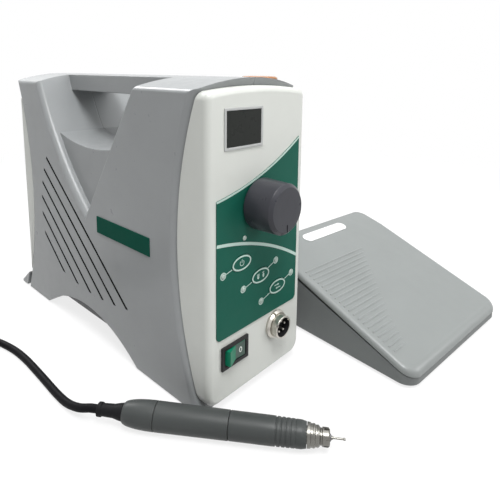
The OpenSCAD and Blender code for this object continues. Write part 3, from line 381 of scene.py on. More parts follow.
def tubeMesh(name, path, radius, sides, look):
    verts, faces = [], []
    side = Vector((0, 0, 1)).cross(path[1] - path[0]).normalized()
    for i, p in enumerate(path):
        ahead = (path[min(i + 1, len(path) - 1)] - path[max(i - 1, 0)]).normalized()
        side = (side - ahead * side.dot(ahead)).normalized()
        up = ahead.cross(side)
        verts += [p + radius * (math.cos(2 * math.pi * k / sides) * side
                                + math.sin(2 * math.pi * k / sides) * up) for k in range(sides)]
    for i in range(len(path) - 1):
        for k in range(sides):
            a, b = i * sides + k, i * sides + (k + 1) % sides
            faces.append((a, b, b + sides, a + sides))
    last = (len(path) - 1) * sides
    faces += [tuple(reversed(range(sides))), tuple(range(last, last + sides))]
    obj = makePiece(name, verts, faces, look)
    outward(obj)
    smoothBy(obj, 60)
    return obj


# Cord: leaves the handpiece, lies on the floor to the left, and is coiled and tied outside the view
cordSpec = {"thick": 5.5, "boot": 18, "coilAt": (-238, 132), "coilTurn": 14, "coilR": 40,
            "layerTurns": 3.25, "gap": 0.5, "tie": 1.2, "plugRun": 9,
            "route": [(-182, -30, 6.8), (-183.8, -17, 4), (-184, -2, 2.9), (-183.6, 16, 2.8),
                      (-183.2, 36, 2.8),
                      (-183.2, 56, 2.8), (-184.6, 74, 2.8), (-188, 91, 2.8), (-193, 108, 3)]}


def curvePoint(a, b, c, d, t):
    return 0.5 * (2 * b + (c - a) * t + (2 * a - 5 * b + 4 * c - d) * t * t
                  + (3 * b - a - 3 * c + d) * t ** 3)


def smoothRun(points, n):
    out = []
    for i in range(1, len(points) - 2):
        out += [curvePoint(points[i - 1], points[i], points[i + 1], points[i + 2], k / n) for k in range(n)]
    return out + [points[-2]]


def cordPath(c):
    thick, pitch = c["thick"], c["thick"] + c["gap"]
    handDir = Vector((math.cos(math.radians(-56)), math.sin(math.radians(-56)), 0))
    turn = math.radians(c["coilTurn"])
    coilDir = Vector((-math.sin(turn), math.cos(turn), 0))
    start = Vector((-165, -58, 9)) - c["boot"] * handDir
    lowZ = c["tie"] + 0.2 + thick / 2
    centre = Vector((*c["coilAt"], 0))
    coilStart = centre + c["coilR"] * Vector((math.cos(turn), math.sin(turn), 0)) + Vector((0, 0, lowZ))
    meet = coilStart - thick * coilDir
    run = [start, start - thick * handDir] + [Vector(p) for p in c["route"]] + [meet - thick * coilDir, meet]
    path = [start, start - 0.5 * thick * handDir] + smoothRun(run, 5) + [meet,
            coilStart - 0.5 * thick * coilDir]
    layer, inner = 360 * c["layerTurns"], c["coilR"] - c["layerTurns"] * pitch
    total = 2 * layer + 180
    steps = round(total / 7.5)
    for i in range(steps + 1):
        a = total * i / steps
        f = max(0.0, min(1.0, (a - layer) / 180))
        if a < layer:
            r = c["coilR"] - pitch * a / 360
        elif a > layer + 180:
            r = inner + pitch * (a - layer - 180) / 360
        else:
            r = inner - 0.4 * pitch * math.sin(math.radians(a - layer))
        ang = turn + math.radians(a)
        path.append(centre + Vector((r * math.cos(ang), r * math.sin(ang),
                                     lowZ + pitch * f * f * (3 - 2 * f))))
    coilEnd = Vector((coilStart.x, coilStart.y, lowZ + pitch))
    path += [coilEnd + 0.5 * thick * coilDir, coilEnd + c["plugRun"] * coilDir]
    clean = [path[0]]
    for p in path[1:]:
        if (p - clean[-1]).length > 0.3:
            clean.append(p)
    return clean, coilDir


cordLine, plugDir = cordPath(cordSpec)
handCord = seat(tubeMesh("handCord", cordLine, cordSpec["thick"] / 2, 14, finish["cordJacket"]), "unit",
                ("motor_cord", "cord_coil"))
plugPlace = Matrix.Translation(cordLine[-1]) @ Matrix.Rotation(math.radians(cordSpec["coilTurn"] + 90), 4,
        "Z")

# Strain relief: a smooth rubber boot that flares to the rear cap
bootSpec = {"length": 18, "small": 3.9, "collar": 4.5, "flare": 5.6, "bore": 2.6}


def bootProfile(b):
    r, x0 = b["small"], -b["length"]
    return [(x0, b["bore"]), (x0, b["collar"], 0.4), (x0 + 2.6, b["collar"], 0.3), (x0 + 3, r, 0.2),
            (-7, r + 0.3, 2), (-3, 5.1, 1.5), (-0.1, b["flare"], 0.3),
            (-0.1, 4.2), (3.8, 4.2), (3.8, b["bore"])]


boot = seat(lathe("strainBoot", bootProfile(bootSpec), handPlace, finish["rubber"], 72, True), "unit",
            ("strain_relief",))

# Strap round the coil
strapSpec = {"angle": 100, "from": 12.4, "to": 43.5, "high": 13.8, "thick": 1.1, "wide": 10, "corner": 2.6}


def strapLoop(s):
    lo, hi, z0, z1, c = s["from"], s["to"], 0.62, s["high"] - 0.62, s["corner"]
    ring = []
    for cx, cz, a0 in ((hi - c, z0 + c, -90), (hi - c, z1 - c, 0), (lo + c, z1 - c, 90),
                       (lo + c, z0 + c, 180)):
        ring += [(cx + c * math.cos(math.radians(a0 + 15 * k)),
                  cz + c * math.sin(math.radians(a0 + 15 * k))) for k in range(7)]
    return ring


def strapMesh(s):
    ring = strapLoop(s)
    verts, faces, n, half = [], [], len(ring), s["thick"] / 2
    for i, (x, z) in enumerate(ring):
        (ax, az), (bx, bz) = ring[i - 1], ring[(i + 1) % n]
        t = Vector((bx - ax, bz - az)).normalized()
        out = Vector((t.y, -t.x))
        for y, side in ((-0.5, -1), (-0.5, 1), (0.5, 1), (0.5, -1)):
            p = Vector((x, z)) + out * half * side
            verts.append((p.x, y * s["wide"], p.y))
    for i in range(n):
        j = (i + 1) % n
        for k in range(4):
            m = (k + 1) % 4
            faces.append((4 * i + k, 4 * i + m, 4 * j + m, 4 * j + k))
    place = Matrix.Translation((*cordSpec["coilAt"],
                                0)) @ Matrix.Rotation(math.radians(cordSpec["coilTurn"] + s["angle"]), 4,
            "Z")
    obj = makePiece("coilStrap", verts, faces, finish["strap"], place)
    outward(obj)
    mod = obj.modifiers.new("edges", "BEVEL")
    mod.width, mod.segments, mod.angle_limit = 0.3 * mm, 2, math.radians(50)
    settle(obj)
    smoothBy(obj, 40)
    return obj


strap = seat(strapMesh(strapSpec), "unit", ("cord_tie",))

# Plug: ribbed rear, metal body with contact holes, knurled ring that turns
plugSpec = {"boot": 16, "body": 24, "r": 7.05, "ring": 9.7, "ringLength": 14, "ridges": 44}


def plugProfile(p):
    def base(x):
        return 3.05 + 0.45 * x / 8 if x < 8 else 3.5 + 1.55 * min(1, (x - 8) / 7)
    rear = [(0, 0), (0, base(0), 0.3)]
    for i in range(4):
        x = 5.2 + 2.5 * i
        rear += [(x, base(x), 0.2), (x + 0.4, base(x) + 0.35, 0.2), (x + 1.2, base(x) + 0.4, 0.2),
                 (x + 1.6, base(x + 1.6), 0.2)]
    end = p["boot"] + p["body"]
    return rear + [(p["boot"], base(p["boot"]), 0.3), (p["boot"], p["r"], 0.5), (end, p["r"], 0.4), (end, 0)]


plugBody = lathe("cordPlug", plugProfile(plugSpec), plugPlace, finish["nickel"], 72)
holes = []
for i in range(5):
    turn = Matrix.Rotation(math.radians(72 * i), 4, "X")
    holes.append(lathe("hole", [(32.5, 0), (32.5, 0.85), (41, 0.85), (41, 0)],
                       plugPlace @ turn @ Matrix.Translation((0, 0, 4.2)), finish["black"], 16))
carve(plugBody, holes)
smoothBy(plugBody)
seat(plugBody, "unit", ("cord_plug",))


# Geometry Nodes: ridges standing round a ring, for knurled pieces
def ridgeTree(look):
    tree = bpy.data.node_groups.new("ringOfRidges", "GeometryNodeTree")
    face = tree.interface
    face.new_socket(name="Body", in_out="INPUT", socket_type="NodeSocketGeometry")
    for label, kind in (("Count", "Int"), ("Radius", "Float"), ("Ridge", "Float"), ("Length", "Float"),
                        ("Place", "Vector"), ("Turn", "Rotation")):
        face.new_socket(name=label, in_out="INPUT", socket_type="NodeSocket" + kind)
    face.new_socket(name="Geometry", in_out="OUTPUT", socket_type="NodeSocketGeometry")
    given = tree.nodes.new("NodeGroupInput").outputs
    ring = addNode(tree, "GeometryNodeMeshCircle", [("Vertices", given["Count"]),
            ("Radius", given["Radius"])])
    bar = addNode(tree, "GeometryNodeMeshCylinder", [("Vertices", 8), ("Radius", given["Ridge"]),
            ("Depth", given["Length"])])
    many = addNode(tree, "GeometryNodeInstanceOnPoints", [("Points", ring.outputs["Mesh"]),
            ("Instance", bar.outputs["Mesh"])])
    real = addNode(tree, "GeometryNodeRealizeInstances", [("Geometry", many.outputs["Instances"])])
    moved = addNode(tree, "GeometryNodeTransform", [("Geometry", real.outputs["Geometry"]),
            ("Translation", given["Place"]), ("Rotation", given["Turn"])])
    join = addNode(tree, "GeometryNodeJoinGeometry")
    tree.links.new(given["Body"], join.inputs["Geometry"])
    tree.links.new(moved.outputs["Geometry"], join.inputs["Geometry"])
    done = addNode(tree, "GeometryNodeSetMaterial", [("Geometry", join.outputs["Geometry"]),
            ("Material", look)])
    end = tree.nodes.new("NodeGroupOutput")
    tree.links.new(done.outputs["Geometry"], end.inputs["Geometry"])
    return tree


def knurl(obj, tree, values):
    mod = obj.modifiers.new("ridges", "NODES")
    mod.node_group = tree
    for item in tree.interface.items_tree:
        if item.in_out == "INPUT" and item.name in values:
            mod[item.identifier] = values[item.name]
    settle(obj)
    smoothBy(obj, 40)


ringEnd = plugSpec["boot"] + plugSpec["body"]
ringFrom = ringEnd - plugSpec["ringLength"]
ringProfile = [(ringFrom, 7.1), (ringFrom, 9.2, 0.3), (ringFrom + 1.2, 9.7, 0.2),
               (ringFrom + 2.0, 9.4, 0.1), (ringEnd - 2.0, 9.4, 0.1),
               (ringEnd - 1.2, 9.7, 0.2), (ringEnd, 9.5, 0.3), (ringEnd, 8.75, 0.2), (ringEnd - 7,
                       8.75), (ringEnd - 7, 7.1)]
plugRing = lathe("plugRing", ringProfile, plugPlace, finish["nickel"], 88, True)
ringMid = plugPlace @ Vector(((ringFrom + ringEnd) / 2, 0, 0))
axisTurn = (plugPlace @ Matrix.Rotation(math.radians(90), 4, "Y")).to_euler()
knurl(plugRing, ridgeTree(finish["nickel"]), {"Count": plugSpec["ridges"], "Radius": 9.45 * mm,
                                              "Ridge": 0.34 * mm, "Length": 9.6 * mm,
                                              "Place": ringMid * mm, "Turn": axisTurn})
seat(plugRing, "plug_collar", ("plug_ring",))
print("cord's pieces made")

# Casing of the control unit
casingSpec = {"seam": 0.2, "slot": 0.15, "hand": 1.6, "outer": 0.7, "hidden": 0.0, "tilt": 38.5,
              "pitch": 13.4, "count": 6}


def inSlot(p, s=casingSpec):
    x, y, z = abs(p.x + 76), p.y + 97, p.z
    a = math.radians(s["tilt"])
    drop = (z - 98) * math.cos(a) - (y - 157) * math.sin(a)
    return x > 45 and any(abs(drop + i * s["pitch"]) < 1.4 for i in range(s["count"])) and math.hypot(y
            - 137, z - 97) < 101


def casingWidth(p, s=casingSpec):
    x, y, z = abs(p.x + 76), p.y + 97, p.z
    if x < 0.1:
        return s["seam"]
    if x > 51.5 and inSlot(p):
        return s["slot"]
    if z > 160 and 70 < y < 236 and (x < 20.5 or x > 43):
        return s["hand"]
    if x > 51.4 or z < 3:
        return s["outer"]
    return s["hidden"]


for side in ("left", "right"):
    half = softCopy("housing_" + side, side + "Casing", [finish["casing"], finish["slotShadeBlack"]],
                    casingWidth, 1.6, 4, clamp=True)
    for face in half.data.polygons:  # slot walls get painted shade: near-black stands in for the shade inside the vent slots
        if inSlot(face.center / mm) and abs(face.normal.x) < 0.6:
            face.material_index = 1
    seat(half, "unit", ("housing_" + side,))
print("casing made")


# Rear panel
def rearWidth(p):
    x, y, z = abs(p.x + 76), p.y + 97, p.z
    if y > 278.8 and (x > 45 or z > 198 or z < 27):
        return 2.6
    return 0.3 if y > 278.8 else 0.0


seat(softCopy("rear_panel", "rearPanel", finish["bezel"], rearWidth, 2.6, 4), "unit", ("rear_panel",))


# Small flat pieces keep their CAD shape with a fine edge
softPieces = {
    "front_overlay": ("overlayFilm", "film", 0.12, "unit", "overlay_green"),
    "display_trim": ("displayTrim", "trim", 0.3, "unit", "trim_grey"),
    "display_window": ("displayWindow", "screen", 0.2, "unit", "screen"),
    "switch_frame": ("switchFrame", "black", 0.5, "unit", "dark_plastic"),
    "side_badges": ("sideBadges", "badge", 0.2, "unit", "badge_green"),
    "mains_inlet": ("mainsInlet", "black", 0.5, "unit", "dark_plastic"),
    "base_plate": ("baseTray", "tray", 0.3, "unit", "tray_steel"),
    "key_left": ("leftKey", "film", 0.25, "left_key", "overlay_green"),
    "key_middle": ("middleKey", "film", 0.25, "middle_key", "overlay_green"),
    "key_right": ("rightKey", "film", 0.25, "right_key", "overlay_green"),
    "pedal_badge": ("pedalLabel", "label", 0.2, "treadle", "badge_white"),
}
for node, (name, look, width, body, slot) in softPieces.items():
    seat(softCopy(node, name, finish[look], lambda p, w=width: w, width, 3, 30), body, (node,))
rocker = softCopy("power_rocker", "powerRocker", [finish["rockerGreen"], finish["rockerFace"]],
                  lambda p: 0.5, 0.5, 3, 30)
for face in rocker.data.polygons:  # the off half has a greyer face
    if face.normal.y < -0.97:
        face.material_index = 1
seat(rocker, "rocker", ("power_rocker",))
print("flat pieces made")

# Flat print and plates on the front plane: outlines are across and up, front and back are depths
def plate(outline, front, back):
    n = len(outline)
    verts = [(x, front, z) for x, z in outline] + [(x, back, z) for x, z in outline]
    faces = [tuple(range(n)), tuple(reversed(range(n, 2 * n)))]
    faces += [(i, (i + 1) % n, n + (i + 1) % n, n + i) for i in range(n)]
    return verts, faces


def ribbon(line, width, front, back, closed=False):
    n = len(line)
    verts, faces = [], []
    for i, p in enumerate(line):
        before = line[i - 1] if closed or i else line[0]
        after = line[(i + 1) % n] if closed or i < n - 1 else line[-1]
        t = (Vector(after) - Vector(before)).normalized()
        side = Vector((-t.y, t.x)) * width / 2
        a, b = Vector(p) + side, Vector(p) - side
        verts += [(a.x, front, a.y), (b.x, front, b.y), (b.x, back, b.y), (a.x, back, a.y)]
    for i in range(n if closed else n - 1):
        j = (i + 1) % n
        for k in range(4):
            m = (k + 1) % 4
            faces.append((4 * i + k, 4 * i + m, 4 * j + m, 4 * j + k))
    if not closed:
        faces += [(0, 1, 2, 3), (4 * n - 1, 4 * n - 2, 4 * n - 3, 4 * n - 4)]
    return verts, faces


def ellipse(at, a, b, steps=48):
    return [(at[0] + a * math.cos(2 * math.pi * k / steps), at[1] + b * math.sin(2 * math.pi * k / steps))
            for k in range(steps)]


def arcLine(centre, radius, fromX, toX, lower, steps=48):
    out = []
    for k in range(steps + 1):
        x = fromX + (toX - fromX) * k / steps
        rise = math.sqrt(radius ** 2 - (x - centre[0]) ** 2)
        out.append((x, centre[1] + (-rise if lower else rise)))
    return out


def printed(name, shapes, place, look):
    verts, faces = [], []
    for v, f in shapes:
        faces += [tuple(i + len(verts) for i in face) for face in f]
        verts += v
    obj = makePiece(name, verts, faces, look, place)
    outward(obj)
    return obj


# Overlay print: border, arc line, links and lamp rings
overlaySpec = {"half": 42.8, "left": 150.2, "right": 184.2, "bend": 214, "film": -0.7, "ink": 0.06,
               "border": 1.3, "arc": 2.2, "link": 0.6}
keySpots = {"left": (-19.4, 102.7), "middle": (0.4, 87), "right": (19.7, 72)}
lampSpots = [(-37, 98.7), (17.5, 93.1), (-17.6, 82.7), (36.7, 77.1), (1.5, 66.5), (-16.7, 119.6)]
linkPairs = [("left", 0), ("middle", 1), ("middle", 2), ("right", 3), ("right", 4)]


# Bezel: rings round its outline, with a wide rounded front edge, then its openings
bezelSpec = {"half": 50, "low": 6, "top": 222.5, "crown": 3.5, "upper": 6, "lower": 10, "edge": 4.4,
             "wall": 3, "panel": 3,
             "hollow": (-244, 114, 274.7), "side": 20, "posts": [(x, z) for x in (-36, 36)
                     for z in (62, 172)]}


def bezelOutline(s):
    h, r, q = s["half"], s["upper"], s["lower"]
    big = (h * h + s["crown"] ** 2) / (2 * s["crown"])
    middle = s["top"] - big
    shoulder = middle + math.sqrt((big - r) ** 2 - (h - r) ** 2)
    meet = math.degrees(math.atan2(shoulder - middle, h - r))
    arcs = [((h - r, shoulder), r, 0, meet, 10), ((0, middle), big, meet, 180 - meet, 24),
            ((r - h, shoulder), r, 180 - meet, 180, 10),
            ((q - h, s["low"] + q), q, 180, 270, 12), ((h - q, s["low"] + q), q, 270, 360, 12)]
    points = []
    for i, (centre, radius, fromA, toA, n) in enumerate(arcs):
        ends = [math.radians(fromA + (toA - fromA) * k / n) for k in range(n + 1)]
        points += [(Vector(centre) + radius * Vector((math.cos(a), math.sin(a))),
                    Vector((math.cos(a), math.sin(a)))) for a in (ends[1:] if i in (1, 2) else ends)]
        if i in (2, 4):  # straight sides, cut up because the rear edge is hollow
            side = -1 if i == 2 else 1
            low, high = s["low"] + q, shoulder
            steps = [high + (low - high) * k / s["side"] for k in range(1, s["side"])]
            points += [(Vector((side * h, z)), Vector((side, 0)))
                       for z in (steps if i == 2 else reversed(steps))]
    return points


def bezelShell(s):
    points = bezelOutline(s)
    n, e = len(points), s["edge"]
    cy, cz, radius = s["hollow"]

    def ring(inset, depth=None, short=0.0):
        flat = [p - out * inset for p, out in points]
        return [(q.x, cy + math.sqrt(radius ** 2 - (q.y - cz) ** 2) - short if depth is None else depth,
                 q.y) for q in flat]

    turns = [math.radians(11.25 * k) for k in range(9)]
    rings = [ring(e * (1 - math.sin(t)), e * (1 - math.cos(t))) for t in turns]
    rings += [ring(0, None, 0.3), ring(0.3), ring(s["wall"]), ring(s["wall"], s["panel"])]
    verts = [v for r in rings for v in r]
    faces = [(a * n + i, a * n + (i + 1) % n, (a + 1) * n + (i + 1) % n, (a + 1) * n + i)
             for a in range(len(rings) - 1) for i in range(n)]
    last = (len(rings) - 1) * n
    return verts, faces + [tuple(range(n)), tuple(range(last + n - 1, last - 1, -1))]


def makeBezel(s):
    look = finish["bezel"]
    bezel = makePiece("frontBezel", *bezelShell(s), look, unitPlace)
    outward(bezel)
    cuts = [boxAt("cut", (x - w, -2, z - h), (x + w, 4.5, z + h), look, unitPlace) for x, z, w,
            h in ((-17.4, 195.3, 16.9, 12.15), (-25.5, 39.2, 11.65, 7.25))]
    cuts += [printed("cut", [plate(ellipse(at, 9.8, 5.8), -2, 4.5)], unitPlace, look)
             for at in keySpots.values()]
    bores = [((-1, 141), 4.65), ((19, 41.5), 8.75)] + [(at, 1.85) for at in lampSpots]
    cuts += [lathe("cut", [(-4.5, 0), (-4.5, r), (2, r), (2, 0)], frontAt(*at), look, 48) for at, r in bores]
    carve(bezel, cuts)
    smoothBy(bezel)
    mod = bezel.modifiers.new("normals", "WEIGHTED_NORMAL")
    mod.keep_sharp = True
    settle(bezel)
    posts = [lathe("post", [(-20, 0), (-20, 3, 0.2), (-2.5, 3), (-2.5, 0)], frontAt(*at), look, 24)
             for at in s["posts"]]
    return joined("frontBezel", [bezel] + posts)


seat(makeBezel(bezelSpec), "unit", ("front_bezel",))
print("bezel made")


def circleThrough(a, b, c):
    ax, ay, bx, by, cx, cy = *a, *b, *c
    d = 2 * (ax * (by - cy) + bx * (cy - ay) + cx * (ay - by))
    ux = ((ax * ax + ay * ay) * (by - cy) + (bx * bx + by * by) * (cy - ay)
          + (cx * cx + cy * cy) * (ay - by)) / d
    uy = ((ax * ax + ay * ay) * (cx - bx) + (bx * bx + by * by) * (ax - cx)
          + (cx * cx + cy * cy) * (bx - ax)) / d
    return (ux, uy), math.hypot(ax - ux, ay - uy)


def overlayPrint(s):
    front, back = s["film"] - s["ink"], s["film"] + 0.1
    a, b = Vector((-s["half"], s["left"])), Vector((s["half"], s["right"]))
    across = b - a
    normal = Vector((-across.y, across.x)).normalized()
    centre = (a + b) / 2 + normal * math.sqrt(s["bend"] ** 2 - across.length ** 2 / 4)
    shapes = [ribbon(arcLine(centre, s["bend"] + s["border"] / 2, -s["half"], s["half"], True),
                     s["border"], front, back)]
    mid, radius = circleThrough((-42.95, 120.6), (-6.85, 112.9), (43.95, 89.2))
    shapes.append(ribbon(arcLine(mid, radius, -s["half"], s["half"], mid[1] > 120), s["arc"], front, back))
    for key, lamp in linkPairs:
        k, l = Vector(keySpots[key]), Vector(lampSpots[lamp])
        way = (l - k).normalized()
        edge = 1 / math.hypot(way.x / 9.8, way.y / 5.8)
        shapes.append(ribbon([tuple(k + way * edge), tuple(l - way * 2.4)], s["link"], front, back))
    for spot in lampSpots[:5]:
        shapes.append(ribbon(ellipse(spot, 2.3, 2.3, 32), 0.7, front, back, True))
    return printed("overlayPrint", shapes, unitPlace, finish["print"])


seat(overlayPrint(overlaySpec), "unit", ())


# Key faces: a ring and a plain sign on each, moving with the key
keySpec = {"face": -1.1, "ink": 0.06, "ring": 1.1}


def arrow(at, length, way):
    x, z = at
    tip, tail, neck = x + way * length / 2, x - way * length / 2, x + way * (length / 2 - 1.5)
    return [(tail, z - 0.3), (neck, z - 0.3), (neck, z - 1.0), (tip, z), (neck, z + 1.0), (neck, z + 0.3),
            (tail, z + 0.3)]


def keySigns(kind, at):
    x, z = at
    if kind == "left":
        bow = [(x + 1.9 * math.cos(math.radians(a)), z + 1.9 * math.sin(math.radians(a)))
                for a in range(130, 411, 10)]
        return [("line", bow), ("line", [(x, z + 0.2), (x, z + 2.6)])]
    if kind == "middle":
        palm, sole = ellipse((x - 2.8, z - 0.7), 1.1, 1.2, 20), ellipse((x + 2.8, z - 0.5), 0.95, 1.7, 20)
        fingers = [[(x - 3.7 + 0.6 * i, z + 0.2), (x - 3.85 + 0.7 * i, z + 1.9)] for i in range(4)]
        toes = [ellipse((x + 1.9 + 0.5 * i, z + 1.6 + 0.12 * i), 0.24, 0.34, 10) for i in range(4)]
        return [("plate", palm), ("plate", sole)] + [("line", f) for f in fingers] + [("plate", t)
                for t in toes]
    return [("plate", arrow((x - 0.8, z + 1.3), 5.4, 1)), ("plate", arrow((x + 0.8, z - 1.3), 5.4, -1))]


def keyPrint(kind, s):
    front, back, at = s["face"] - s["ink"], s["face"] + 0.1, keySpots[kind]
    shapes = [ribbon(ellipse(at, 9.2 - s["ring"] / 2, 5.2 - s["ring"] / 2, 64), s["ring"], front, back, True)]
    for form, line in keySigns(kind, at):
        shapes.append(plate(line, front, back) if form == "plate" else ribbon(line, 0.45, front, back))
    return printed(kind + "KeyPrint", shapes, unitPlace, finish["print"])


for kind in keySpots:
    seat(keyPrint(kind, keySpec), kind + "_key", ())

# Rocker sign: a ring on the off half
rockerSpec = {"at": (-25.5, 1.2, 39.2), "tilt": 11, "slope": 13.31, "mid": (4.65, -3.3)}
rockerMid = Vector((*rockerSpec["mid"], 0))
rockerPlace = unitPlace @ Matrix.Translation(rockerSpec["at"])
rockerPlace = rockerPlace @ Matrix.Rotation(math.radians(rockerSpec["tilt"]), 4, "Z")
rockerPlace = rockerPlace @ Matrix.Translation(rockerMid)
rockerPlace = rockerPlace @ Matrix.Rotation(math.radians(-rockerSpec["slope"]), 4, "Z")
offRing = ribbon(ellipse((0, 0), 1.15, 1.75, 32), 0.6, -0.06, 0.1, True)
seat(printed("rockerOffSign", [offRing], rockerPlace, finish["signWhite"]), "rocker", ())
print("print and signs made")

# Speed knob with its mark
knobSpec = {"at": (-1, 141), "back": 18.25, "front": 17.65, "length": 25, "gap": 1.7, "wall": 2.2,
            "bore": 3.02, "rim": 2.3, "mark": (1.2, 5.5, 0.8)}


def knobProfile(k):
    r, l, inside = k["back"], k["length"], k["length"] - 3 - k["wall"]
    return [(l - 2.8, 0), (l - 2.8, k["bore"]), (5.5, k["bore"]), (5.5, 6, 0.3), (inside, 6, 0.5),
            (inside, r - k["wall"], 0.8),
            (k["gap"], r - k["wall"], 0.3), (k["gap"], r, 0.4), (l - k["rim"], k["front"], 0.8), (l,
                    k["front"] - k["rim"], 0.6),
            (l - 0.2, 8, 2), (l - 0.25, 0)]


def makeKnob(k):
    place = frontAt(*k["at"])
    knob = lathe("speedKnob", knobProfile(k), place, finish["knob"], 128)
    w, h, d = k["mark"]
    low = 2.4 - k["back"]
    mark = boxAt("mark", (k["length"] - d, -w / 2, low), (k["length"] + 1, w / 2, low + h),
                 finish["black"], place)
    carve(knob, [mark])
    smoothBy(knob)
    return knob


seat(makeKnob(knobSpec), "knob", ("speed_knob",))
print("knob made")


# Geometry Nodes: one model set out on the points of a mesh
def setOutTree():
    tree = bpy.data.node_groups.new("setOut", "GeometryNodeTree")
    face = tree.interface
    for label, kind in (("Spots", "Geometry"), ("Model", "Object"), ("Finish", "Material")):
        face.new_socket(name=label, in_out="INPUT", socket_type="NodeSocket" + kind)
    face.new_socket(name="Geometry", in_out="OUTPUT", socket_type="NodeSocketGeometry")
    given = tree.nodes.new("NodeGroupInput").outputs
    info = addNode(tree, "GeometryNodeObjectInfo", [("Object", given["Model"])])
    many = addNode(tree, "GeometryNodeInstanceOnPoints", [("Points", given["Spots"]),
            ("Instance", info.outputs["Geometry"])])
    real = addNode(tree, "GeometryNodeRealizeInstances", [("Geometry", many.outputs["Instances"])])
    done = addNode(tree, "GeometryNodeSetMaterial", [("Geometry", real.outputs["Geometry"]),
            ("Material", given["Finish"])])
    end = tree.nodes.new("NodeGroupOutput")
    tree.links.new(done.outputs["Geometry"], end.inputs["Geometry"])
    return tree


spotTree = setOutTree()


def setOut(name, model, spots, look):
    obj = makePiece(name, spots, [], look)
    mod = obj.modifiers.new("setOut", "NODES")
    mod.node_group = spotTree
    values = {"Model": model, "Finish": look}
    for item in spotTree.interface.items_tree:
        if item.in_out == "INPUT" and item.name in values:
            mod[item.identifier] = values[item.name]
    settle(obj)
    smoothBy(obj)
    bpy.data.objects.remove(model)
    return obj


def unitSpots(points):
    return [unitPlace @ Vector(p) for p in points]


# Round socket on the front
socketSpec = {"at": (19, 41.5), "r": 8.6, "neck": 8.35, "bore": 7.2, "out": 8.5, "in": 14, "nut": 10.8,
              "nutT": 3.2, "pinRing": 4.2, "pinR": 0.8}


def makeSocket(s):
    place = frontAt(*s["at"])
    shell = lathe("socketShell", [(-s["in"], s["bore"]), (-s["in"], s["neck"], 0.2), (-5.5, s["neck"]),
                                  (-5.5, 10, 0.2), (-3.1, 10, 0.2), (-3.1, s["neck"]),
                                  (3.4, s["neck"]), (3.4, s["r"], 0.15), (s["out"], s["r"],
                                          0.45), (s["out"], s["bore"], 0.3)],
                  place, [finish["nickel"], finish["black"]], 96, True)
    notches = [boxAt("notch", (s["out"] - 1.6, -0.8, 6.9), (s["out"] + 1, 0.8, 9.2), finish["nickel"],
                     place @ Matrix.Rotation(math.radians(a), 4, "X"))
               for a in (-62, 62)]
    carve(shell, notches)
    smoothBy(shell)
    middle = place.translation * mm
    for face in shell.data.polygons:  # the barrel's inner wall gets painted shade: black plastic stands in for the shade inside the bore
        away = face.center - middle
        if math.hypot(away.x, away.z) < (s["bore"] + 0.05) * mm:
            face.material_index = 1
    seat(shell, "unit", ("socket_shell",))
    nut = lathe("socketNut", [(0, s["r"] + 0.05), (0, s["nut"], 0.25), (1.4, s["nut"], 0.4),
                              (s["nutT"], s["nut"] - 1, 0.35), (s["nutT"], s["r"] + 0.05, 0.2)],
                place, finish["nickel"], 96, True)
    slots = [boxAt("slot", (1.2, -0.9, 9.3), (5, 0.9, 12), finish["nickel"],
                   place @ Matrix.Rotation(math.radians(a), 4, "X")) for a in (20, 200)]
    carve(nut, slots)
    smoothBy(nut)
    seat(nut, "unit", ("socket_nut",))
    insert = lathe("socketInsert", [(2 - s["in"], 0), (2 - s["in"], s["bore"] - 0.05),
                                    (2.5, s["bore"] - 0.05, 0.4), (2.5, 5.8, 0.2), (2.2, 5.5, 0.2),
                                    (2.2, 0)],
                   place, finish["black"], 72)
    seat(insert, "unit", ("socket_insert",))
    pin = lathe("pin", [(-s["in"], 0), (-s["in"], s["pinR"]), (6.5, s["pinR"], 0.6), (6.5, 0)],
                axisToFront, finish["nickel"], 20)
    spots = []
    for i in range(5):
        a = math.radians(90 + 72 * i)
        spots.append((s["at"][0] + s["pinRing"] * math.cos(a), 0, s["at"][1] + s["pinRing"] * math.sin(a)))
    seat(setOut("socketPins", pin, unitSpots(spots), finish["nickel"]), "unit", ("socket_pins",))


makeSocket(socketSpec)

# Lamps, feet, screws and top pad of the unit
lampModel = lathe("lamp", [(-4, 0), (-4, 1.7), (1.0, 1.7, 0.25), (1.3, 1.1, 0.5), (1.3, 0)], axisToFront,
                  finish["lamp"], 28)
seat(setOut("indicatorLamps", lampModel, unitSpots([(x, 0, z) for x, z in lampSpots]), finish["lamp"]),
     "unit", ("indicator_leds",))
footProfile = [(0.4, 0), (0, 2.5, 0.3), (0, 6.5, 0.5), (0.9, 7, 0.3), (3, 7, 0.1), (3, 0)]
footModel = lathe("foot", footProfile, axisToTop, finish["rubber"], 40)
seat(setOut("rubberFeet", footModel, unitSpots([(x, y, 0) for x in (-38, 38) for y in (30, 264)]),
            finish["rubber"]), "unit", ("rubber_feet",))
screwSpec = {"at": [(60, 196), (60, 62), (250, 190), (246, 56)], "shank": 1.6, "head": 3.4, "from": -15.3,
             "seat": 48, "top": 51}


def makeScrews(s):
    model = lathe("screw", [(s["from"], 0), (s["from"], s["shank"]), (s["seat"], s["shank"]),
                            (s["seat"], s["head"], 0.2), (s["top"] - 0.9, s["head"], 0.5),
                            (s["top"], s["head"] - 1.2, 0.5), (s["top"],
                                    0)], Matrix.Identity(4), finish["steel"], 40)
    cross = [boxAt("cross", (s["top"] - 1.4, -w, -h), (s["top"] + 1, w, h), finish["steel"]) for w,
             h in ((2.0, 0.42), (0.42, 2.0))]
    carve(model, cross)
    return setOut("casingScrews", model, unitSpots([(0, y, z) for y, z in s["at"]]), finish["steel"])


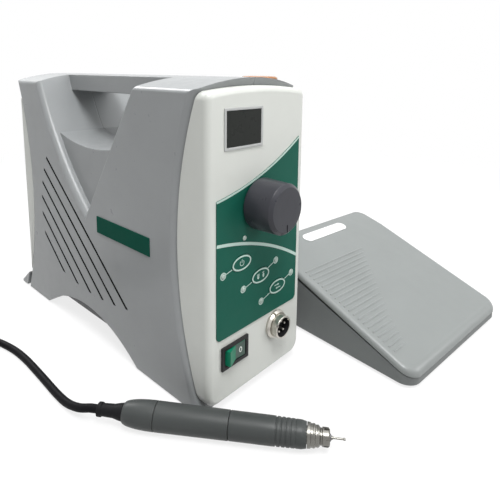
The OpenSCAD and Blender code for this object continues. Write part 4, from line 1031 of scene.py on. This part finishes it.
seat(makeScrews(screwSpec), "unit", ("housing_screws",))
padPlace = unitPlace @ Matrix.Translation((30, 29, 0)) @ axisToTop
padProfile = [(219, 0), (219, 14), (227.2, 14, 0.5), (228.2, 12.6, 1.2), (228.5, 7, 3), (228.5, 0)]
seat(lathe("topPad", padProfile, padPlace, finish["amber"], 72), "unit", ("top_pad",))

# Rear connectors
fuse = lathe("fuseHolder", [(-26, 0), (-26, 6), (0, 6), (0, 7.6, 0.3), (2, 7.6, 0.2), (2.3, 7.1, 0.2),
                            (8.2, 7.1, 0.2), (9, 6.4, 0.4), (9, 0)], rearAt(-30, 52), finish["black"], 64)
carve(fuse, [boxAt("slot", (7.5, -4.5, -0.7), (10, 4.5, 0.7), finish["black"], rearAt(-30, 52))])
knurl(fuse, ridgeTree(finish["black"]), {"Count": 32, "Radius": 7.15 * mm, "Ridge": 0.4 * mm,
                                         "Length": 5.4 * mm,
                                         "Place": (rearAt(-30, 52)
                                                 @ Vector((5.3, 0, 0))) * mm, "Turn": (math.radians(90), 0,
                                                 0)})
seat(fuse, "unit", ("fuse_holder",))
jackProfile = [(-16, 0), (-16, 7.5), (0, 7.5), (0, 9.5, 0.3), (1.6, 9.5, 0.4), (2.5, 8.6, 0.3),
               (2.5, 6.3, 0.3), (-8, 6.3), (-8, 0)]
seat(lathe("pedalJack", jackProfile, rearAt(30, 52), finish["nickel"], 72), "unit", ("pedal_socket",))
blades = [boxAt("blade", (x - 1, 264, z - 2.2), (x + 1, 275, z + 2.2), finish["nickel"], unitPlace) for x,
          z in ((-6, 50), (6, 50), (0, 55))]
seat(joined("inletBlades", blades), "unit", ())
print("connectors and fasteners made")

# Handpiece
handSpec = {"rear": 9, "capEnd": 5.8, "cap": 22, "dome": 20, "casing": (22.3, 70.5),
            "sleeve": (70.8, 119.3), "neck": 6.7, "grooves": 5, "grooveFrom": 29.1,
            "groovePitch": 3, "grooveWide": 1.1, "grooveR": 7.8, "nose": 119.6, "tip": 133.6}


def capProfile(h):
    rise, c = h["rear"] - h["capEnd"], h["cap"]
    dome = [(h["dome"] * (1 - math.cos(math.radians(a))), h["capEnd"] + rise * math.sin(math.radians(a)))
            for a in range(10, 91, 8)]
    front = [(c - 0.3, h["rear"], 0.1), (c, h["rear"] - 0.3, 0.1), (c, 7.35), (c + 8, 7.35), (c + 8, 5.42)]
    bore = [(c + 2, 5.42), (c + 2, 2.9), (4, 2.9), (4, 4.25)]
    return [(0, 4.25), (0, h["capEnd"], 0.4)] + dome + front + bore


def sleeveRadius(x, h):
    a = h["sleeve"][0]
    points = [(a, 8.5), (a + 26.7, 8.4), (a + 45.5, 7.9), (a + 48.5, 7.3)]
    for (x0, r0), (x1, r1) in zip(points, points[1:]):
        if x <= x1:
            return r0 + (r1 - r0) * (x - x0) / (x1 - x0)
    return points[-1][1]


def sleeveProfile(h):
    a, b = h["sleeve"]
    pts = [(a, h["neck"] + 0.05), (a, 8.2, 0.1), (a + 0.3, 8.5, 0.2), (a + 26.7, 8.4, 4)]
    for i in range(h["grooves"]):
        x = a + h["grooveFrom"] + i * h["groovePitch"]
        w = h["grooveWide"]
        pts += [(x, sleeveRadius(x, h), 0.2), (x + 0.2, h["grooveR"], 0.2),
                (x + w - 0.2, h["grooveR"], 0.2), (x + w, sleeveRadius(x + w, h), 0.2)]
    return pts + [(b - 3, 7.9, 1.5), (b, 7.3, 0.2), (b, h["neck"] + 0.05)]


def noseProfile(h):
    n, t = h["nose"], h["tip"]
    rings = [(0, 7.3, 0.2), (2, 7.1, 0.2), (2.4, 6.6, 0.1), (3.4, 6.5, 0.1), (3.8, 6.8, 0.12),
             (4.8, 6.6, 0.12), (5.2, 6.1, 0.1), (6.2, 6.0, 0.1),
             (6.6, 6.3, 0.12), (7.6, 5.6, 0.12), (8.2, 4.8, 0.1), (9, 4.8, 0.1), (9.4, 5.4, 0.2)]
    shank = [(n - 10, 4.07), (n - 10, 5.05), (n, 5.05)]
    tip = [(t - 1, 5.4, 0.3), (t, 4.4, 0.25), (t, 3.6, 0.1), (n - 3, 3.6), (n - 3, 4.07)]
    return shank + [(n + x, r, f) for x, r, f in rings] + tip


c0, c1 = handSpec["casing"]
casingProfile = [(c0, 7.4), (c0, 8.7, 0.1), (c0 + 0.3, 9, 0.15), (c1 - 0.3, 8.6, 0.15), (c1, 8.3, 0.1),
                 (c1, 6.7), (119.3, 6.7), (119.3, 5.1), (66.8, 5.1), (64.8, 7.4)]
seat(lathe("handRearCap", capProfile(handSpec), handPlace, finish["handGrey"], 96, True), "unit",
     ("hand_rear_cap",))
seat(lathe("handCasing", casingProfile, handPlace, finish["handGrey"], 96, True), "unit", ("hand_casing",))
seat(lathe("gripSleeve", sleeveProfile(handSpec), handPlace, finish["handGrey"], 96, True), "sleeve",
     ("grip_sleeve",))
nose = lathe("noseCone", noseProfile(handSpec), handPlace, finish["steel"], 96, True)
cuts = [boxAt("cut", (130, -0.9, 4.6), (144, 0.9, 7.6), finish["steel"],
              handPlace @ Matrix.Rotation(math.radians(60 * i), 4, "X")) for i in range(6)]
carve(nose, cuts)
smoothBy(nose)
seat(nose, "unit", ("nose_cone",))
seat(lathe("colletChuck", [(119.1, 1.195), (119.1, 2.3), (133.8, 2.3, 0.2), (134.4, 1.7, 0.2),
                           (134.4, 1.195)], handPlace, finish["darkSteel"], 48, True), "chuck",
     ("collet",))
burProfile = [(119.1, 0), (119.1, 1.175), (135, 1.175, 0.2), (135.6, 0.65, 0.2), (141.7, 0.6, 0.1),
              (141.9, 0.85, 0.1), (143.1, 0.75, 0.25), (143.1, 0)]
seat(lathe("toolBur", burProfile, handPlace, finish["steel"], 32), "chuck", ("tool_bit",))
print("handpiece made")

# Pedal
pedalSpec = {"w": 162, "l": 162, "front": 13.5, "crease": (48, 60), "back": 69, "rim": 5.5, "shell": 3,
             "corner": 12, "top": 4.4, "nose": 7,
             "lower": 0.4, "ribFrom": 74.5}
fromPedal = pedalPlace.inverted()


def deckHeight(y, s=pedalSpec):
    cy, cz = s["crease"]
    half = s["l"] / 2
    if y < cy:
        return s["front"] + (cz - s["front"]) * (y + half) / (cy + half)
    return cz + (s["back"] - cz) * (y - cy) / (half - cy)


# Treadle: rings round its outline, with a wide rounded top edge and a rounder nose
def planPoints(s):
    w, l, r = s["w"] / 2, s["l"] / 2, s["corner"]
    points = []
    for cx, cy, start in ((w - r, l - r, 0), (r - w, l - r, 90), (r - w, r - l, 180), (w - r, r - l, 270)):
        for k in range(13):
            a = math.radians(start + 7.5 * k)
            points.append((Vector((cx + r * math.cos(a), cy + r * math.sin(a))),
                           Vector((math.cos(a), math.sin(a)))))
        if start in (90, 270):
            side = -1 if start == 90 else 1
            points.append((Vector((side * w, s["crease"][0])), Vector((side, 0))))
    return points


def treadleShell(s):
    points = planPoints(s)
    n = len(points)
    rings = []
    for k in range(9):
        t = math.radians(11.25 * (8 - k))
        ring = []
        for p, out in points:
            r = s["top"] + (s["nose"] - s["top"]) * max(0.0, -out.y) ** 2 - max(0.0, out.y) ** 2
            q, deep = p - out * r * (1 - math.cos(t)), p - out * r
            ring.append((q.x, q.y, deckHeight(deep.y) - r * (1 - math.sin(t))))
        rings.append(ring)
    for inset, drop in ((0, s["rim"] - s["lower"]), (s["lower"], s["rim"]), (s["shell"], s["rim"]),
                        (s["shell"], s["shell"])):
        flat = [p - out * inset for p, out in points]
        rings.append([(q.x, q.y, deckHeight(q.y) - drop) for q in flat])
    verts = [v for ring in rings for v in ring]
    faces = [(a * n + i, a * n + (i + 1) % n, (a + 1) * n + (i + 1) % n, (a + 1) * n + i)
             for a in range(len(rings) - 1) for i in range(n)]
    left, right = 26, n - 1  # the two points on the crease
    for base in (0, (len(rings) - 1) * n):
        faces += [tuple(base + i for i in range(left, right + 1)),
                  tuple(base + i % n for i in range(right, right + 1 + left + 1))]
    return verts, faces


def ribStrip(s, y, end):
    fade = min(24.0, (end + s["ribFrom"]) * 0.6)
    stop = end - fade * 0.43
    slope = math.atan((s["crease"][1] - s["front"]) / (s["crease"][0] + s["l"] / 2))
    verts, faces = [], []
    for x, h in ((-s["ribFrom"], -0.2), (0.5 - s["ribFrom"], 0.8), (end - fade, 0.8), (stop, 0.02)):
        for a, up in ((-0.9, -0.3), (-0.7, h * 0.7), (-0.3, h), (0.3, h), (0.7, h * 0.7), (0.9, -0.3)):
            verts.append((x, y + a * math.cos(slope) - up * math.sin(slope),
                          deckHeight(y) + a * math.sin(slope) + up * math.cos(slope)))
    for k in range(3):
        faces += [(6 * k + i, 6 * k + (i + 1) % 6, 6 * k + 6 + (i + 1) % 6, 6 * k + 6 + i) for i in range(6)]
    return verts, faces + [(5, 4, 3, 2, 1, 0), (18, 19, 20, 21, 22, 23)]


def makeTreadle(s):
    shell = makePiece("pedalTreadle", *treadleShell(s), finish["treadle"], pedalPlace)
    outward(shell)
    smoothBy(shell, 40)
    for e in shell.data.edges:  # the crease stays crisp
        a, b = (shell.data.vertices[i].co for i in e.vertices)
        e.use_edge_sharp = e.use_edge_sharp or (a - b).length > 0.14
    mod = shell.modifiers.new("normals", "WEIGHTED_NORMAL")
    mod.keep_sharp = True
    settle(shell)
    parts = [shell]
    for i in range(20):
        y, end = -61 + 90 * i / 19, -52 + 76 * i / 19
        parts.append(makePiece("rib", *ribStrip(s, y, end), finish["treadle"], pedalPlace))
    for side in (-38, 38):
        lug = boxAt("lug", (side - 6, -71.4, 6.2), (side + 6, -64.6, 15.5), finish["treadle"], pedalPlace)
        place = pedalPlace @ Matrix.Translation((side, -68, 9.6))
        carve(lug, [lathe("bore", [(-8, 0), (-8, 2.05), (8, 2.05), (8, 0)], place, finish["treadle"], 32)])
        parts.append(lug)
    cup = lathe("cup", [(44.4, 0), (44.4, 7.2, 0.4), (47.6, 7.2), (47.6, 11, 0.3), (50, 11), (50, 0)],
                pedalPlace @ Matrix.Translation((0, 34, 0)) @ axisToTop, finish["treadle"], 48)
    for v in cup.data.vertices:  # its top follows the deck
        at = fromPedal @ (v.co / mm)
        if at.z > 49:
            v.co = (pedalPlace @ Vector((at.x, at.y, deckHeight(at.y) - 1.5))) * mm
    for part in parts[1:]:
        outward(part)
        smoothBy(part)
    return joined("pedalTreadle", parts + [cup])


def baseWidth(p):
    return 1.2 if (fromPedal @ p).z < 2.7 else 0.4


seat(makeTreadle(pedalSpec), "treadle", ("pedal_treadle",))
seat(softCopy("pedal_base", "pedalBase", finish["pedalBase"], baseWidth, 1.2, 3, clamp=True), "unit",
     ("pedal_base",))
springSpec = {"at": (0, 34), "r": 9, "wire": 1.8, "turns": 7, "low": 5.5, "high": 47.4}


def springLine(s):
    n = 24 * s["turns"]
    low, high = s["low"] + s["wire"] / 2, s["high"] - s["wire"] / 2
    return [pedalPlace @ Vector((s["at"][0] + s["r"] * math.cos(math.radians(15 * i)),
                                 s["at"][1] + s["r"] * math.sin(math.radians(15 * i)),
                                 low + (high - low) * i / n))
            for i in range(n + 1)]


spring = seat(tubeMesh("pedalSpring", springLine(springSpec), springSpec["wire"] / 2, 10, finish["steel"]),
              "unit", ("pedal_spring",))
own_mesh(spring)
pedalFoot = lathe("foot", [(0.4, 0), (0, 2.5, 0.3), (0, 6.5, 0.5), (0.9, 7, 0.3), (4, 7, 0.1), (4, 0)],
                  axisToTop, finish["rubber"], 40)
seat(setOut("pedalFeet", pedalFoot, [pedalPlace @ Vector((x, y, 0)) for x in (-59, 59) for y in (-47, 47)],
            finish["rubber"]), "unit", ("pedal_feet",))
glandPlace = pedalPlace @ Matrix.Translation((0, 80.5, 15)) @ axisToRear
glandProfile = [(-5, 0), (-5, 5), (0.1, 5), (0.1, 6, 0.4), (2.6, 6, 0.3), (3, 5.4, 0.2), (4, 5.4, 0.2),
                (4.4, 5.9, 0.2), (5.4, 5.8, 0.2), (5.8, 5.2, 0.2),
                (6.8, 5.2, 0.2), (7.2, 5.7, 0.2), (9, 5.5, 0.5), (9, 2.7, 0.3), (4, 2.7), (4, 0)]
seat(lathe("pedalGland", glandProfile, glandPlace, finish["rubber"], 56), "unit", ("pedal_gland",))
print("pedal made")

# CAD solids that stay as they are get their own finish
inside = {"display_module": "board", "pot_body": "aluminium", "pot_shaft": "steel",
          "control_board": "board", "power_supply": "aluminium", "driver_board": "board",
          "heat_sink": "aluminium", "spindle": "steel", "rotor_magnet": "darkSteel", "stator": "winding",
          "front_bearing": "steel", "rear_bearing": "steel",
          "pedal_pin": "steel", "pedal_sensor": "board"}
for node, look in inside.items():
    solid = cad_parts[node]
    solid.data.materials.clear()
    solid.data.materials.append(finish[look])
print("inner solids finished:", len(inside))

# Floor, light and background
floorSpec = {"size": 6.0, "glow": 0.8, "colour": 0.5, "near": 0.42, "far": 0.95}


def makeFloor(f):
    h = f["size"] / 2 / mm
    floor = makePiece("studioFloor", [(-h, -h, 0), (h, -h, 0), (h, h, 0), (-h, h, 0)], [(0, 1, 2, 3)],
                      bpy.data.materials.new("studioFloor"))
    mat = floor.data.materials[0]
    mat.use_nodes = True
    tree = mat.node_tree
    tree.nodes.clear()
    path = addNode(tree, "ShaderNodeLightPath")
    plain = addNode(tree, "ShaderNodeBsdfDiffuse", [("Color", (f["colour"],) * 3 + (1,))])
    part = addNode(tree, "ShaderNodeBsdfDiffuse", [("Color", (1 - f["glow"],) * 3 + (1,))])
    glow = addNode(tree, "ShaderNodeEmission", [("Color", (1, 1, 1, 1)), ("Strength", f["glow"])])
    both = addNode(tree, "ShaderNodeAddShader")
    tree.links.new(part.outputs[0], both.inputs[0])
    tree.links.new(glow.outputs[0], both.inputs[1])
    away = addNode(tree, "ShaderNodeVectorMath", operation="LENGTH")
    tree.links.new(addNode(tree, "ShaderNodeTexCoord").outputs["Object"], away.inputs[0])
    fade = addNode(tree, "ShaderNodeMapRange", [("Value", away.outputs["Value"]), ("From Min", f["near"]),
                                                ("From Max", f["far"])], interpolation_type="SMOOTHSTEP")
    white = addNode(tree, "ShaderNodeEmission", [("Color", (1, 1, 1, 1)), ("Strength", 1.0)])
    shown = addNode(tree, "ShaderNodeMixShader")  # plain white far from the set
    tree.links.new(fade.outputs["Result"], shown.inputs[0])
    tree.links.new(both.outputs[0], shown.inputs[1])
    tree.links.new(white.outputs[0], shown.inputs[2])
    seen = addNode(tree, "ShaderNodeMath", operation="MAXIMUM")
    tree.links.new(path.outputs["Is Camera Ray"], seen.inputs[0])
    tree.links.new(path.outputs["Is Glossy Ray"], seen.inputs[1])
    mix = addNode(tree, "ShaderNodeMixShader")
    tree.links.new(seen.outputs[0], mix.inputs[0])
    tree.links.new(plain.outputs[0], mix.inputs[1])
    tree.links.new(shown.outputs[0], mix.inputs[2])
    out = addNode(tree, "ShaderNodeOutputMaterial")
    tree.links.new(mix.outputs[0], out.inputs[0])


lightSpec = {"ambient": 0.17, "lamps": [("topSoftbox", (0.1, -0.2, 1.5), (0, 0, 0.05), 1.6, 13.0),
                                        ("frontSoftbox", (0.9, -1.4, 0.75), (0, -0.05, 0.1), 0.7, 10.0),
                                        ("leftTop", (-0.45, -0.6, 1.5), (-0.08, 0, 0.15), 0.6, 20.0),
                                        ("rearSoftbox", (-0.1, 1.5, 1.5), (0, 0, 0.1), 0.8, 22.0)]}


def makeLights(s):
    world = bpy.data.worlds.new("studioWorld")
    bpy.context.scene.world = world
    world.use_nodes = True
    tree = world.node_tree
    tree.nodes.clear()
    path = addNode(tree, "ShaderNodeLightPath")
    soft = addNode(tree, "ShaderNodeBackground", [("Color", (1, 1, 1, 1)), ("Strength", s["ambient"])])
    white = addNode(tree, "ShaderNodeBackground", [("Color", (1, 1, 1, 1)), ("Strength", 1.0)])
    first = addNode(tree, "ShaderNodeMath", operation="MAXIMUM")
    tree.links.new(path.outputs["Is Camera Ray"], first.inputs[0])
    tree.links.new(path.outputs["Is Transmission Ray"], first.inputs[1])
    second = addNode(tree, "ShaderNodeMath", operation="MAXIMUM")
    tree.links.new(first.outputs[0], second.inputs[0])
    tree.links.new(path.outputs["Is Glossy Ray"], second.inputs[1])
    mix = addNode(tree, "ShaderNodeMixShader")
    tree.links.new(second.outputs[0], mix.inputs[0])
    tree.links.new(soft.outputs[0], mix.inputs[1])
    tree.links.new(white.outputs[0], mix.inputs[2])
    out = addNode(tree, "ShaderNodeOutputWorld")
    tree.links.new(mix.outputs[0], out.inputs[0])
    for name, at, to, size, power in s["lamps"]:
        data = bpy.data.lights.new(name, "AREA")
        data.size = size
        data.energy = power
        lamp = bpy.data.objects.new(name, data)
        bpy.context.scene.collection.objects.link(lamp)
        lamp.location = at
        lamp.rotation_euler = (Vector(to) - Vector(at)).to_track_quat("-Z", "Y").to_euler()


makeFloor(floorSpec)
makeLights(lightSpec)
bpy.context.scene.view_settings.view_transform = "Standard"
print("floor and light made")
